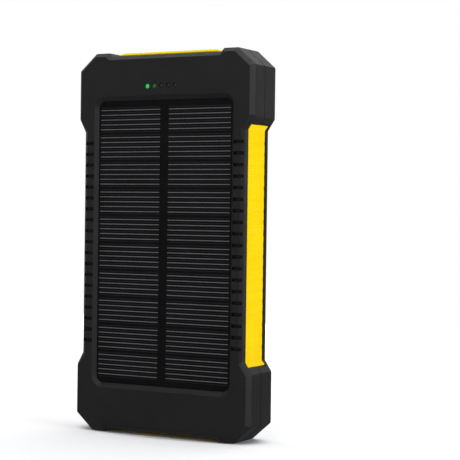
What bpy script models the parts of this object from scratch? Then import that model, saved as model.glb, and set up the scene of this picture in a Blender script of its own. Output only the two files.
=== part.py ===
"""Solar phone charger: a rugged power bank in two black shells around a yellow frame.

Frame: +Z up, the solar panel faces -Y, the origin is at the centre of the base.
Every object is one solid piece of the charger. The case stands on its short end.
"""

import math

import bmesh
import bpy
from mathutils import Matrix, Vector

MM = 0.001                          # every size here is in millimetres until to_metres()

# Case
WIDTH = 75.0
HEIGHT = 142.0
DEPTH = 18.0
FRONT = -DEPTH / 2
REAR = DEPTH / 2
WALL = 2.0
GAP = 0.3
HALF_GAP = GAP / 2
PAST = 1.0                          # how far a cutter runs past what it cuts
FLAT = 0.001                        # a face whose corners leave its plane by more is bent

# Outline of the shells: cut corners, a thick bumper at each end and a narrower waist
CORNER_X = 7.2
CORNER_Z = 6.35
BUMPER = 25.2
TRANSITION = 4.1
WAIST_INSET = 2.72
NOTCH_HALF = 23.2
NOTCH_SLOPE = 1.3
NOTCH_DEPTH = 1.3
WAIST_HALF = WIDTH / 2 - WAIST_INSET

# Front shell
FRONT_PLATE = 2.2
FRONT_BEVEL = 1.5
FRONT_BEVEL_DEPTH = 2.0
WAIST_BEVEL = 2.28
WAIST_BEVEL_DEPTH = 1.0
BAND_END = 27.2                # height at which the bumper walls stop and the band shows

# Rear shell
REAR_PLATE = 2.5
REAR_BEVEL = 1.1
REAR_BEVEL_DEPTH = 0.9
REAR_ROUNDING = 0.15
REAR_ROUNDING_DEPTH = 2.8
FIELD_HALF = 25.0
FIELD_LOW = 30.0
FIELD_HIGH = 93.0
FIELD_DEPTH = 0.5
FIELD_RADIUS = 3.0

# Grip notches beside the window and on the back
GRIP_COUNT = 19
GRIP_FIRST = 34.2
GRIP_PITCH = 4.11
GRIP_HEIGHT = 1.2
GRIP_DEPTH = 1.1
GRIP_INNER = 28.8
GRIP_OUTER = 33.4

# Solar window and panel
WINDOW_HALF = 28.1
WINDOW_LOW = 18.4
WINDOW_HIGH = 124.0
WINDOW_RADIUS = 2.8
RIM_SIDE = 2.8
RIM_END = 1.9
RIM_DEPTH = 1.5
COVER_FRONT = FRONT + 1.7
COVER_THICK = 0.5
CELL_SHEET = 0.15
CELL_THICK = 0.15
CELL_ROWS = 10
CELL_PITCH = 10.18
CELL_HEIGHT = 9.7
CELL_GAP_HALF = 1.65
CELL_MARGIN = 0.6
BACKPLATE_MARGIN = 1.7
BACKPLATE_THICK = 1.0
ADHESIVE_THICK = 0.3

# Middle frame with the ribbed side bands
FRAME_FRONT = FRONT + FRONT_PLATE + GAP
FRAME_REAR = REAR - REAR_PLATE - GAP
FRAME_WALL = 1.6
BAND_HALF = 34.55
BAND_EDGE_HALF = 34.0
BAND_CHAMFER = 1.6
BAND_RIB = 0.28

# Charging ports under the cover at the top end
BAY_HALF = 21.6
BAY_HALF_DEPTH = 6.0
PORT_MOUTH = HEIGHT - 3.8
USB_X = 14.1
USB_WIDTH = 13.2
USB_HEIGHT = 5.7
USB_LENGTH = 13.7
USB_TONGUE_WIDTH = 11.1
SHEET = 0.3
TONGUE_RECESS = 1.7
MICRO_WIDTH = 8.0
MICRO_HEIGHT = 3.0
MICRO_LENGTH = 5.6
MICRO_TONGUE_WIDTH = 5.0

# Port cover
COVER_HALF = 21.3
COVER_LOW_Y = -5.7
COVER_HIGH_Y = 4.9
COVER_HEIGHT = 1.2
COVER_HINGE_Y = 5.05
LIP_HEIGHT = 0.9
LIP_WIDTH = 0.6
LIP_INSET = 0.3
HINGE_STRIP_HALF = 12.0
HINGE_STRIP_THICK = 0.6

# Lanyard eye and yellow strip at the bottom end
EYE_LOW_X = -22.8
EYE_HIGH_X = -12.4
EYE_TOP = 9.0
EYE_HALF_DEPTH = 4.1
EYE_WALL = 1.2
EYE_FLOOR = 2.0
PIN_Z = 3.4
PIN_RADIUS = 1.0
STRIP_LOW_X = -11.2
STRIP_HIGH_X = 21.3
STRIP_BOTTOM = 0.35
STRIP_HALF_DEPTH = 5.4

# Power button on the left band, with the switch behind it
BUTTON_Z = 104.0
BUTTON_LENGTH = 9.0
BUTTON_WIDTH = 4.0
BUTTON_FACE = -34.95
BUTTON_BEVEL = 0.4
FLANGE_X = -30.55
FLANGE_THICK = 0.6
FLANGE_RIM = 0.8
SWITCH_LOW_X = -28.6
SWITCH_HIGH_X = -24.6
SWITCH_HALF = 2.5
PLUNGER_RADIUS = 0.6
PLUNGER_TIP = FLANGE_X + FLANGE_THICK + GAP
PLUNGER_END = SWITCH_LOW_X + 0.6

# Charge indicators
INDICATOR_COUNT = 5
INDICATOR_X = -6.65
INDICATOR_PITCH = 2.98
INDICATOR_Z = 129.0
INDICATOR_RADIUS = 0.75
PIPE_PIN_RADIUS = 0.55
PIPE_HALF = 1.2
PIPE_BAR_REAR = -3.4
PIPE_REAR = 1.6
LED_HALF = 0.5

# Main board
BOARD_FRONT = 3.1
BOARD_THICK = 1.0
BOARD_HALF = 27.2
BOARD_LOW = 96.0
BOARD_HIGH = 136.2
PARTS_REAR = BOARD_FRONT - GAP      # rear face of what is fitted on the front of the board

# Torch at the back
TORCH_HALF = 17.3
TORCH_LOW = 101.0
TORCH_HIGH = 117.0
TORCH_RADIUS = 3.0
TORCH_COLUMNS = 3
TORCH_ROWS = 2
TORCH_PITCH_X = 10.4
TORCH_PITCH_Z = 7.2
TORCH_LED = 3.0
TORCH_CUP = 2.9
LENS_FRONT = 7.9
LENS_REAR = 8.8
REFLECTOR_FRONT = 6.5
REFLECTOR_REAR = 7.6
TORCH_BOARD_FRONT = 4.4
TORCH_BOARD_THICK = 0.8
TORCH_LED_THICK = 0.8

# Battery
BATTERY_HALF = 26.0
BATTERY_LOW = 12.0
BATTERY_HIGH = 91.0
BATTERY_FRONT = -4.5
CELL_BODY = 4.4
BATTERY_PAD = 0.6
BATTERY_RADIUS = 2.5

# Case screws
SCREW_X = 30.5
SCREW_Z = 9.0
SCREW_HEAD_RADIUS = 1.9
SCREW_HEAD_HEIGHT = 1.0
SCREW_RADIUS = 0.9
SCREW_TOP = REAR - 0.2
SCREW_END = -4.5
COUNTERBORE_RADIUS = 2.2
COUNTERBORE_DEPTH = 1.4
CLEARANCE_RADIUS = 1.3
BOSS_RADIUS = 2.6
BOSS_END = -0.6
BOSS_HOLE_RADIUS = 1.15
BOSS_HOLE_END = -5.4

WIRE_RADIUS = 0.5


# ---------------------------------------------------------------- helpers

def clear_scene():
    for item in list(bpy.data.objects):
        bpy.data.objects.remove(item, do_unlink=True)


def make_material(name, color, roughness, metallic=0.0):
    material = bpy.data.materials.new(name)
    material.use_nodes = True
    shader = material.node_tree.nodes["Principled BSDF"]
    shader.inputs["Base Color"].default_value = (*color, 1.0)
    shader.inputs["Roughness"].default_value = roughness
    shader.inputs["Metallic"].default_value = metallic
    return material


def make_object(name, bm, material, origin=(0.0, 0.0, 0.0)):
    """Turn a bmesh in world coordinates into an object whose origin is at the given point."""
    bmesh.ops.recalc_face_normals(bm, faces=bm.faces)
    bmesh.ops.translate(bm, verts=bm.verts, vec=-Vector(origin))
    mesh = bpy.data.meshes.new(name)
    bm.to_mesh(mesh)
    bm.free()
    item = bpy.data.objects.new(name, mesh)
    item.location = origin
    bpy.context.scene.collection.objects.link(item)
    if material is not None:
        mesh.materials.append(material)
    return item


def boolean(target, bm, operation):
    """Apply a Boolean between an object and a bmesh in world coordinates.

    The case's long thin faces defeat the EXACT solver, and all meshes here are closed.
    """
    tool = make_object("tool", bm, None)
    modifier = target.modifiers.new("boolean", "BOOLEAN")
    modifier.operation = operation
    modifier.solver = "MANIFOLD"
    modifier.object = tool
    bpy.context.view_layer.update()
    graph = bpy.context.evaluated_depsgraph_get()
    result = bpy.data.meshes.new_from_object(target.evaluated_get(graph))
    target.modifiers.clear()
    target.data = result
    bpy.data.objects.remove(tool, do_unlink=True)


def cut(target, bm):
    boolean(target, bm, "DIFFERENCE")


def join(target, bm):
    boolean(target, bm, "UNION")


def shade_round(item, angle=math.radians(40)):
    item.data.shade_smooth()
    item.data.set_sharp_from_angle(angle=angle)


def is_bent(face):
    """Whether a face's corners leave its plane."""
    middle = face.calc_center_median()
    return any(abs((vert.co - middle).dot(face.normal)) > FLAT for vert in face.verts)


def loft(rings, bm=None):
    """Close a skin over rings of equal length, with a cap at each end and bent quads split."""
    bm = bm or bmesh.new()
    loops = []
    for ring in rings:
        loops.append([bm.verts.new(point) for point in ring])
    count = len(loops[0])
    for low, high in zip(loops, loops[1:]):
        for i in range(count):
            j = (i + 1) % count
            bm.faces.new((low[i], low[j], high[j], high[i]))
    bm.faces.new(list(reversed(loops[0])))
    bm.faces.new(loops[-1])
    bm.normal_update()
    bmesh.ops.triangulate(bm, faces=[face for face in bm.faces if is_bent(face)])
    return bm


def ring_y(points, y):
    """Outline in X and Z, set at one depth."""
    return [Vector((x, y, z)) for x, z in points]


def ring_x(points, x):
    """Outline in Y and Z, set at one X."""
    return [Vector((x, y, z)) for y, z in points]


def box(low, high, bm=None):
    bm = bm or bmesh.new()
    corners = ((low[0], low[2]), (high[0], low[2]), (high[0], high[2]), (low[0], high[2]))
    return loft([ring_y(corners, low[1]), ring_y(corners, high[1])], bm)


def circle(centre_a, centre_b, radius, segments=16):
    points = []
    for i in range(segments):
        turn = 2 * math.pi * i / segments
        points.append((centre_a + radius * math.cos(turn), centre_b + radius * math.sin(turn)))
    return points


def rod_y(x, z, radius, y_low, y_high, segments=16, bm=None):
    points = circle(x, z, radius, segments)
    return loft([ring_y(points, y_low), ring_y(points, y_high)], bm)


def rod_x(y, z, radius, x_low, x_high, segments=16, bm=None):
    points = circle(y, z, radius, segments)
    return loft([ring_x(points, x_low), ring_x(points, x_high)], bm)


def rounded_rectangle(low_a, high_a, low_b, high_b, radius, segments=4):
    """Counterclockwise outline with round corners."""
    centres = (
        (high_a - radius, low_b + radius, -90),
        (high_a - radius, high_b - radius, 0),
        (low_a + radius, high_b - radius, 90),
        (low_a + radius, low_b + radius, 180),
    )
    points = []
    for a, b, start in centres:
        for i in range(segments + 1):
            turn = math.radians(start + 90 * i / segments)
            points.append((a + radius * math.cos(turn), b + radius * math.sin(turn)))
    return points


def rounded_slab(x_half, z_low, z_high, radius, y_low, y_high, bm=None):
    points = rounded_rectangle(-x_half, x_half, z_low, z_high, radius)
    return loft([ring_y(points, y_low), ring_y(points, y_high)], bm)


def inset_polygon(points, distance):
    """Move each edge of a counterclockwise outline inwards, keeping the corners mitred."""
    points = [Vector(point) for point in points]
    moved = []
    for i, point in enumerate(points):
        before = (point - points[i - 1]).normalized()
        after = (points[(i + 1) % len(points)] - point).normalized()
        normal_before = Vector((-before.y, before.x))
        normal_after = Vector((-after.y, after.x))
        mitre = (normal_before + normal_after) / (1 + normal_before.dot(normal_after))
        moved.append(tuple(point + mitre * distance))
    return moved


def mirror_quarter(quarter):
    """Complete an outline from its lower right quarter, listed from the bottom upwards."""
    right = list(quarter) + [(x, HEIGHT - z) for x, z in reversed(quarter)]
    return right + [(-x, z) for x, z in reversed(right)]


def wire(name, points, radius, material):
    """Round lead along a smooth curve through the given points."""
    fine = []
    steps = 4
    for i in range(len(points) - 1):
        p0 = Vector(points[max(i - 1, 0)])
        p1 = Vector(points[i])
        p2 = Vector(points[i + 1])
        p3 = Vector(points[min(i + 2, len(points) - 1)])
        for step in range(steps):
            t = step / steps
            fine.append(0.5 * (2 * p1 + (p2 - p0) * t + (2 * p0 - 5 * p1 + 4 * p2 - p3) * t * t
                               + (3 * p1 - p0 - 3 * p2 + p3) * t ** 3))
    fine.append(Vector(points[-1]))
    curve = bpy.data.curves.new(name, "CURVE")
    curve.dimensions = "3D"
    spline = curve.splines.new("POLY")
    spline.points.add(len(fine) - 1)
    for target, point in zip(spline.points, fine):
        target.co = (*point, 1.0)
    curve.bevel_depth = radius
    curve.bevel_resolution = 2
    curve.use_fill_caps = True
    curve.materials.append(material)
    item = bpy.data.objects.new(name, curve)
    bpy.context.scene.collection.objects.link(item)
    return item


# ---------------------------------------------------------------- outlines

def case_outline():
    quarter = (
        (NOTCH_HALF, NOTCH_DEPTH),
        (NOTCH_HALF + NOTCH_SLOPE, 0.0),
        (WIDTH / 2 - CORNER_X, 0.0),
        (WIDTH / 2, CORNER_Z),
        (WIDTH / 2, BUMPER),
        (WAIST_HALF, BUMPER + TRANSITION),
    )
    return mirror_quarter(quarter)


def is_waist(z):
    return BUMPER + TRANSITION / 2 < z < HEIGHT - BUMPER - TRANSITION / 2


def front_face_outline():
    """Flat part of the front face: the waist has the wider bevel."""
    points = []
    for x, z in inset_polygon(case_outline(), FRONT_BEVEL):
        extra = WAIST_BEVEL - FRONT_BEVEL if is_waist(z) else 0.0
        points.append((x - math.copysign(extra, x), z))
    return points


def frame_outline(band_half, rib):
    """Outer edge of the middle frame: inside the bumpers, out to the ribbed band at the waist."""
    inside = inset_polygon(case_outline(), WALL + GAP)
    band_low = BAND_END + GAP
    slope = WAIST_INSET / TRANSITION
    bumper_x, bumper_z = inside[4]
    quarter = list(inside[:5])
    quarter.append((bumper_x - slope * (band_low - bumper_z), band_low))
    quarter.append((band_half + slope * (BUMPER + TRANSITION - band_low), band_low))
    quarter.append((band_half, BUMPER + TRANSITION))
    for i in range(GRIP_COUNT // 2 + 1):
        valley = GRIP_FIRST + i * GRIP_PITCH
        quarter.append((band_half - rib, valley))
        if i < GRIP_COUNT // 2:
            quarter.append((band_half, valley + GRIP_PITCH / 2))
    right = quarter + [(x, HEIGHT - z) for x, z in reversed(quarter[:-1])]
    return right + [(-x, z) for x, z in reversed(right)]


# ---------------------------------------------------------------- cutters

def waist_cutter(y_low, y_high):
    bm = bmesh.new()
    for side in (-1, 1):
        ends = sorted((side * (WAIST_HALF - 5 * WALL), side * (WIDTH / 2 + PAST)))
        box((ends[0], y_low, BAND_END), (ends[1], y_high, HEIGHT - BAND_END), bm)
    return bm


def interior_cutter(y_low, y_high):
    points = inset_polygon(case_outline(), WALL)
    return loft([ring_y(points, y_low), ring_y(points, y_high)])


def grip_cutter(inner, y_low, y_high):
    bm = bmesh.new()
    for side in (-1, 1):
        ends = sorted((side * inner, side * GRIP_OUTER))
        for i in range(GRIP_COUNT):
            middle = GRIP_FIRST + i * GRIP_PITCH
            low = (ends[0], y_low, middle - GRIP_HEIGHT / 2)
            high = (ends[1], y_high, middle + GRIP_HEIGHT / 2)
            box(low, high, bm)
    return bm


def window_ring(spread):
    """Window outline, widened by a share of the sloped rim."""
    return rounded_rectangle(
        -WINDOW_HALF - RIM_SIDE * spread,
        WINDOW_HALF + RIM_SIDE * spread,
        WINDOW_LOW - RIM_END * spread,
        WINDOW_HIGH + RIM_END * spread,
        WINDOW_RADIUS + RIM_END * spread,
    )


def window_cutter():
    over = 1.2
    return loft([
        ring_y(window_ring(over), FRONT - (over - 1) * RIM_DEPTH),
        ring_y(window_ring(0.0), FRONT + RIM_DEPTH),
        ring_y(window_ring(0.0), FRONT + FRONT_PLATE + PAST),
    ])


def screw_places():
    places = []
    for side in (-1, 1):
        for z in (SCREW_Z, HEIGHT - SCREW_Z):
            places.append((side * SCREW_X, z))
    return places


# ---------------------------------------------------------------- case

def build_front_shell(material):
    outline = case_outline()
    bevel_end = []
    for x, z in outline:
        depth = WAIST_BEVEL_DEPTH if is_waist(z) else FRONT_BEVEL_DEPTH
        bevel_end.append(Vector((x, FRONT + depth, z)))
    bm = loft([ring_y(front_face_outline(), FRONT), bevel_end, ring_y(outline, -HALF_GAP)])
    shell = make_object("front_shell", bm, material)
    inner_face = FRONT + FRONT_PLATE
    cut(shell, interior_cutter(inner_face, PAST))
    cut(shell, waist_cutter(inner_face, PAST))
    cut(shell, window_cutter())
    cut(shell, grip_cutter(GRIP_INNER, FRONT - PAST, FRONT + GRIP_DEPTH))
    holes = bmesh.new()
    for i in range(INDICATOR_COUNT):
        x = INDICATOR_X + i * INDICATOR_PITCH
        rod_y(x, INDICATOR_Z, INDICATOR_RADIUS, FRONT - PAST, inner_face + PAST, 12, holes)
    cut(shell, holes)
    cut(shell, box((-BAY_HALF, -BAY_HALF_DEPTH, HEIGHT - 2 * WALL), (BAY_HALF, PAST, HEIGHT + PAST)))
    slot_low = (EYE_LOW_X - EYE_WALL - GAP, -STRIP_HALF_DEPTH - GAP, -PAST)
    slot_high = (STRIP_HIGH_X + GAP, PAST, 2 * WALL)
    cut(shell, box(slot_low, slot_high))
    bosses = bmesh.new()
    for x, z in screw_places():
        rod_y(x, z, BOSS_RADIUS, inner_face - PAST / 2, BOSS_END, 14, bosses)
    join(shell, bosses)
    bores = bmesh.new()
    for x, z in screw_places():
        rod_y(x, z, BOSS_HOLE_RADIUS, BOSS_HOLE_END, PAST, 12, bores)
    cut(shell, bores)
    return shell


def build_rear_shell(material):
    outline = case_outline()
    bm = loft([
        ring_y(outline, HALF_GAP),
        ring_y(outline, REAR - REAR_ROUNDING_DEPTH),
        ring_y(inset_polygon(outline, REAR_ROUNDING), REAR - REAR_BEVEL_DEPTH),
        ring_y(inset_polygon(outline, REAR_BEVEL), REAR),
    ])
    shell = make_object("rear_shell", bm, material)
    inner_face = REAR - REAR_PLATE
    cut(shell, interior_cutter(-PAST, inner_face))
    cut(shell, waist_cutter(-PAST, inner_face))
    cut(shell, grip_cutter(GRIP_INNER, REAR - GRIP_DEPTH, REAR + PAST))
    cut(shell, box((-BAY_HALF, -PAST, HEIGHT - 2 * WALL), (BAY_HALF, BAY_HALF_DEPTH, HEIGHT + PAST)))
    slot_low = (EYE_LOW_X - EYE_WALL - GAP, -PAST, -PAST)
    slot_high = (STRIP_HIGH_X + GAP, STRIP_HALF_DEPTH + GAP, 2 * WALL)
    cut(shell, box(slot_low, slot_high))
    recesses = rounded_slab(FIELD_HALF, FIELD_LOW, FIELD_HIGH, FIELD_RADIUS, REAR - FIELD_DEPTH, REAR + PAST)
    rounded_slab(TORCH_HALF, TORCH_LOW, TORCH_HIGH, TORCH_RADIUS, inner_face - PAST, REAR + PAST, recesses)
    cut(shell, recesses)
    heads = bmesh.new()
    shanks = bmesh.new()
    for x, z in screw_places():
        rod_y(x, z, COUNTERBORE_RADIUS, REAR - COUNTERBORE_DEPTH, REAR + PAST, 16, heads)
        rod_y(x, z, CLEARANCE_RADIUS, inner_face - PAST, REAR, 12, shanks)
    cut(shell, heads)
    cut(shell, shanks)
    return shell


def build_middle_frame(material):
    rings = [
        ring_y(frame_outline(BAND_EDGE_HALF, 0.0), FRAME_FRONT),
        ring_y(frame_outline(BAND_HALF, BAND_RIB), FRAME_FRONT + BAND_CHAMFER),
        ring_y(frame_outline(BAND_HALF, BAND_RIB), FRAME_REAR),
    ]
    frame = make_object("middle_frame", loft(rings), material)
    inner = inset_polygon(case_outline(), WALL + GAP + FRAME_WALL)
    cut(frame, loft([ring_y(inner, FRAME_FRONT - PAST), ring_y(inner, FRAME_REAR + PAST)]))
    wall_low = HEIGHT - 4 * WALL
    ports = bmesh.new()
    for x in (-USB_X, USB_X):
        half = USB_WIDTH / 2 + GAP
        low = (x - half, -USB_HEIGHT / 2 - GAP, wall_low)
        box(low, (x + half, USB_HEIGHT / 2 + GAP, HEIGHT), ports)
    half = MICRO_WIDTH / 2 + GAP
    micro_low = USB_HEIGHT / 2 - MICRO_HEIGHT - GAP
    box((-half, micro_low, wall_low), (half, USB_HEIGHT / 2 + GAP, HEIGHT), ports)
    cut(frame, ports)
    frame_bottom = NOTCH_DEPTH + WALL + GAP + FRAME_WALL / 2
    join(frame, box((STRIP_LOW_X, -STRIP_HALF_DEPTH, STRIP_BOTTOM), (STRIP_HIGH_X, STRIP_HALF_DEPTH, frame_bottom)))
    pocket_low = (EYE_LOW_X - EYE_WALL, -EYE_HALF_DEPTH - EYE_WALL, EYE_FLOOR)
    pocket_high = (EYE_HIGH_X + EYE_WALL - GAP, EYE_HALF_DEPTH + EYE_WALL, EYE_TOP + EYE_WALL)
    join(frame, box(pocket_low, pocket_high))
    cut(frame, box((EYE_LOW_X, -EYE_HALF_DEPTH, -PAST), (EYE_HIGH_X, EYE_HALF_DEPTH, EYE_TOP)))
    middle = (EYE_LOW_X + EYE_HIGH_X) / 2
    cut(frame, rod_y(middle, PIN_Z, PIN_RADIUS + GAP, -2 * EYE_HALF_DEPTH, 2 * EYE_HALF_DEPTH, 12))
    slot = stadium(BUTTON_WIDTH / 2 + GAP, BUTTON_LENGTH / 2 + GAP)
    cut(frame, loft([ring_x(slot, -WIDTH / 2), ring_x(slot, FLANGE_X + FLANGE_THICK)]))
    return frame


def build_lanyard_pin(material):
    middle = (EYE_LOW_X + EYE_HIGH_X) / 2
    half = EYE_HALF_DEPTH + EYE_WALL - GAP
    pin = make_object("lanyard_pin", rod_y(middle, PIN_Z, PIN_RADIUS, -half, half, 16), material)
    shade_round(pin)


# ---------------------------------------------------------------- solar panel

def panel_outline(margin):
    return rounded_rectangle(
        -WINDOW_HALF - margin,
        WINDOW_HALF + margin,
        WINDOW_LOW - margin,
        WINDOW_HIGH + margin,
        WINDOW_RADIUS,
    )


def build_solar_panel(clear, silicon, board, foam):
    points = panel_outline(-GAP)
    cover_rear = COVER_FRONT + COVER_THICK
    make_object("solar_cover", loft([ring_y(points, COVER_FRONT), ring_y(points, cover_rear)]), clear)

    cell_front = cover_rear + GAP
    sheet_front = cell_front + CELL_THICK
    sheet_rear = sheet_front + CELL_SHEET
    bm = loft([ring_y(points, sheet_front), ring_y(points, sheet_rear)])
    cells = make_object("solar_cells", bm, silicon)
    middle = (WINDOW_LOW + WINDOW_HIGH) / 2
    raised = bmesh.new()
    for row in range(CELL_ROWS):
        z = middle + (row - (CELL_ROWS - 1) / 2) * CELL_PITCH
        for side in (-1, 1):
            ends = sorted((side * CELL_GAP_HALF, side * (WINDOW_HALF - CELL_MARGIN)))
            low = (ends[0], cell_front, z - CELL_HEIGHT / 2)
            high = (ends[1], sheet_front + CELL_SHEET / 2, z + CELL_HEIGHT / 2)
            box(low, high, raised)
    join(cells, raised)

    foam_front = FRONT + FRONT_PLATE + GAP
    foam_rear = foam_front + ADHESIVE_THICK
    outer = panel_outline(BACKPLATE_MARGIN)
    inner = panel_outline(GAP)
    tape = make_object("panel_adhesive", loft([ring_y(outer, foam_front), ring_y(outer, foam_rear)]), foam)
    cut(tape, loft([ring_y(inner, foam_front - PAST), ring_y(inner, foam_rear + PAST)]))

    plate_front = foam_rear + GAP
    plate_rear = plate_front + BACKPLATE_THICK
    make_object("solar_backplate", loft([ring_y(outer, plate_front), ring_y(outer, plate_rear)]), board)
    return plate_rear


# ---------------------------------------------------------------- ports and cover

def build_port_shell(name, x, width, y_low, y_high, length, material):
    low = (x - width / 2, y_low, PORT_MOUTH - length)
    high = (x + width / 2, y_high, PORT_MOUTH)
    shell = make_object(name, box(low, high), material)
    inner_low = [value + SHEET for value in low]
    inner_high = (high[0] - SHEET, high[1] - SHEET, high[2] + PAST)
    cut(shell, box(inner_low, inner_high))


def build_tongue(name, x, width, y_tongue, y_base, base_low, base_high, top, material):
    """Contact tongue on a thicker base, as one profile pushed sideways."""
    profile = (
        (y_base[0], base_low),
        (y_base[1], base_low),
        (y_base[1], base_high),
        (y_tongue[1], base_high),
        (y_tongue[1], top),
        (y_tongue[0], top),
        (y_tongue[0], base_high),
        (y_base[0], base_high),
    )
    rings = [ring_x(profile, x - width / 2), ring_x(profile, x + width / 2)]
    make_object(name, loft(rings), material)


def build_ports(steel, insulator):
    bottom = PORT_MOUTH - USB_LENGTH + SHEET + GAP
    tip = PORT_MOUTH - TONGUE_RECESS
    half = USB_HEIGHT / 2
    for side, x in (("left", -USB_X), ("right", USB_X)):
        build_port_shell(f"usb_a_port_{side}", x, USB_WIDTH, -half, half, USB_LENGTH, steel)
        base = (-half + SHEET + GAP, half - SHEET - GAP)
        tongue = (0.0, base[1] - 2 * GAP)
        build_tongue(f"usb_a_tongue_{side}", x, USB_TONGUE_WIDTH, tongue, base,
                     bottom, bottom + WALL, tip, insulator)
    low = half - MICRO_HEIGHT
    build_port_shell("micro_usb_port", 0.0, MICRO_WIDTH, low, half, MICRO_LENGTH, steel)
    base = (low + SHEET + GAP, half - SHEET - GAP)
    tongue = (base[0] + GAP, base[1] - 2 * GAP)
    bottom = PORT_MOUTH - MICRO_LENGTH + SHEET + GAP
    build_tongue("micro_usb_tongue", 0.0, MICRO_TONGUE_WIDTH, tongue, base,
                 bottom, bottom + WALL / 2, PORT_MOUTH - TONGUE_RECESS / 2, insulator)


def build_port_cover(rubber):
    plate_low = HEIGHT - COVER_HEIGHT
    hinge = (0.0, COVER_HINGE_Y, HEIGHT)
    bm = box((-COVER_HALF, COVER_LOW_Y, plate_low), (COVER_HALF, COVER_HIGH_Y, HEIGHT))
    cover = make_object("port_cover", bm, rubber)
    lip_low = (-COVER_HALF + LIP_INSET, COVER_LOW_Y + LIP_INSET, plate_low - LIP_HEIGHT)
    lip_high = (COVER_HALF - LIP_INSET, COVER_HIGH_Y - LIP_INSET, plate_low + COVER_HEIGHT / 2)
    join(cover, box(lip_low, lip_high))
    hollow_low = (lip_low[0] + LIP_WIDTH, lip_low[1] + LIP_WIDTH, lip_low[2] - PAST)
    hollow_high = (lip_high[0] - LIP_WIDTH, lip_high[1] - LIP_WIDTH, plate_low)
    cut(cover, box(hollow_low, hollow_high))
    cover.data.transform(Matrix.Translation(-Vector(hinge)))
    cover.location = hinge

    strip_low = (-HINGE_STRIP_HALF, COVER_HIGH_Y + GAP, PORT_MOUTH + 2 * GAP)
    strip_high = (HINGE_STRIP_HALF, COVER_HIGH_Y + GAP + HINGE_STRIP_THICK, HEIGHT - GAP)
    make_object("cover_hinge_strip", box(strip_low, strip_high), rubber)


# ---------------------------------------------------------------- button and switch

def stadium(half_width, half_length, segments=6):
    """Outline in Y and Z of a round-ended slot at the button's height."""
    points = []
    for centre, start in ((half_length - half_width, 0), (half_width - half_length, 180)):
        for i in range(segments + 1):
            turn = math.radians(start + 180 * i / segments)
            points.append((half_width * math.cos(turn), BUTTON_Z + centre + half_width * math.sin(turn)))
    return points


def build_power_button(rubber, switch_plastic, plunger_plastic):
    cap = stadium(BUTTON_WIDTH / 2, BUTTON_LENGTH / 2)
    face = stadium(BUTTON_WIDTH / 2 - BUTTON_BEVEL, BUTTON_LENGTH / 2 - BUTTON_BEVEL)
    flange = stadium(BUTTON_WIDTH / 2 + FLANGE_RIM, BUTTON_LENGTH / 2 + FLANGE_RIM)
    bm = loft([
        ring_x(face, BUTTON_FACE),
        ring_x(cap, BUTTON_FACE + BUTTON_BEVEL),
        ring_x(cap, FLANGE_X),
        ring_x(flange, FLANGE_X),
        ring_x(flange, FLANGE_X + FLANGE_THICK),
    ])
    button = make_object("power_button", bm, rubber, (BUTTON_FACE, 0.0, BUTTON_Z))
    shade_round(button)

    low = (SWITCH_LOW_X, -SWITCH_HALF, BUTTON_Z - SWITCH_HALF)
    high = (SWITCH_HIGH_X, SWITCH_HALF, BUTTON_Z + SWITCH_HALF)
    body = make_object("switch_body", box(low, high), switch_plastic)
    bore_end = PLUNGER_END + 2 * GAP + GAP
    cut(body, rod_x(0.0, BUTTON_Z, PLUNGER_RADIUS + GAP, SWITCH_LOW_X - PAST, bore_end, 12))
    bm = rod_x(0.0, BUTTON_Z, PLUNGER_RADIUS, PLUNGER_TIP, PLUNGER_END, 12)
    plunger = make_object("switch_plunger", bm, plunger_plastic, (PLUNGER_TIP, 0.0, BUTTON_Z))
    shade_round(plunger)


# ---------------------------------------------------------------- electronics

def build_light_pipe(clear, led_material):
    last = INDICATOR_X + (INDICATOR_COUNT - 1) * INDICATOR_PITCH
    front = FRONT + FRONT_PLATE + GAP
    low = (INDICATOR_X - PIPE_HALF, front, INDICATOR_Z - PIPE_HALF)
    bar = box(low, (last + PIPE_HALF, PIPE_BAR_REAR, INDICATOR_Z + PIPE_HALF))
    pipe = make_object("light_pipe", bar, clear)
    front_pins = bmesh.new()
    rear_pins = bmesh.new()
    for i in range(INDICATOR_COUNT):
        x = INDICATOR_X + i * INDICATOR_PITCH
        rod_y(x, INDICATOR_Z, PIPE_PIN_RADIUS, FRONT + GAP, front + PAST, 12, front_pins)
        rod_y(x, INDICATOR_Z, PIPE_PIN_RADIUS, PIPE_BAR_REAR - PAST, PIPE_REAR, 8, rear_pins)
        led_low = (x - LED_HALF, PIPE_REAR + GAP, INDICATOR_Z - LED_HALF)
        led_high = (x + LED_HALF, PARTS_REAR, INDICATOR_Z + LED_HALF)
        make_object(f"indicator_led_{i + 1}", box(led_low, led_high), led_material)
    join(pipe, front_pins)
    join(pipe, rear_pins)


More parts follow.
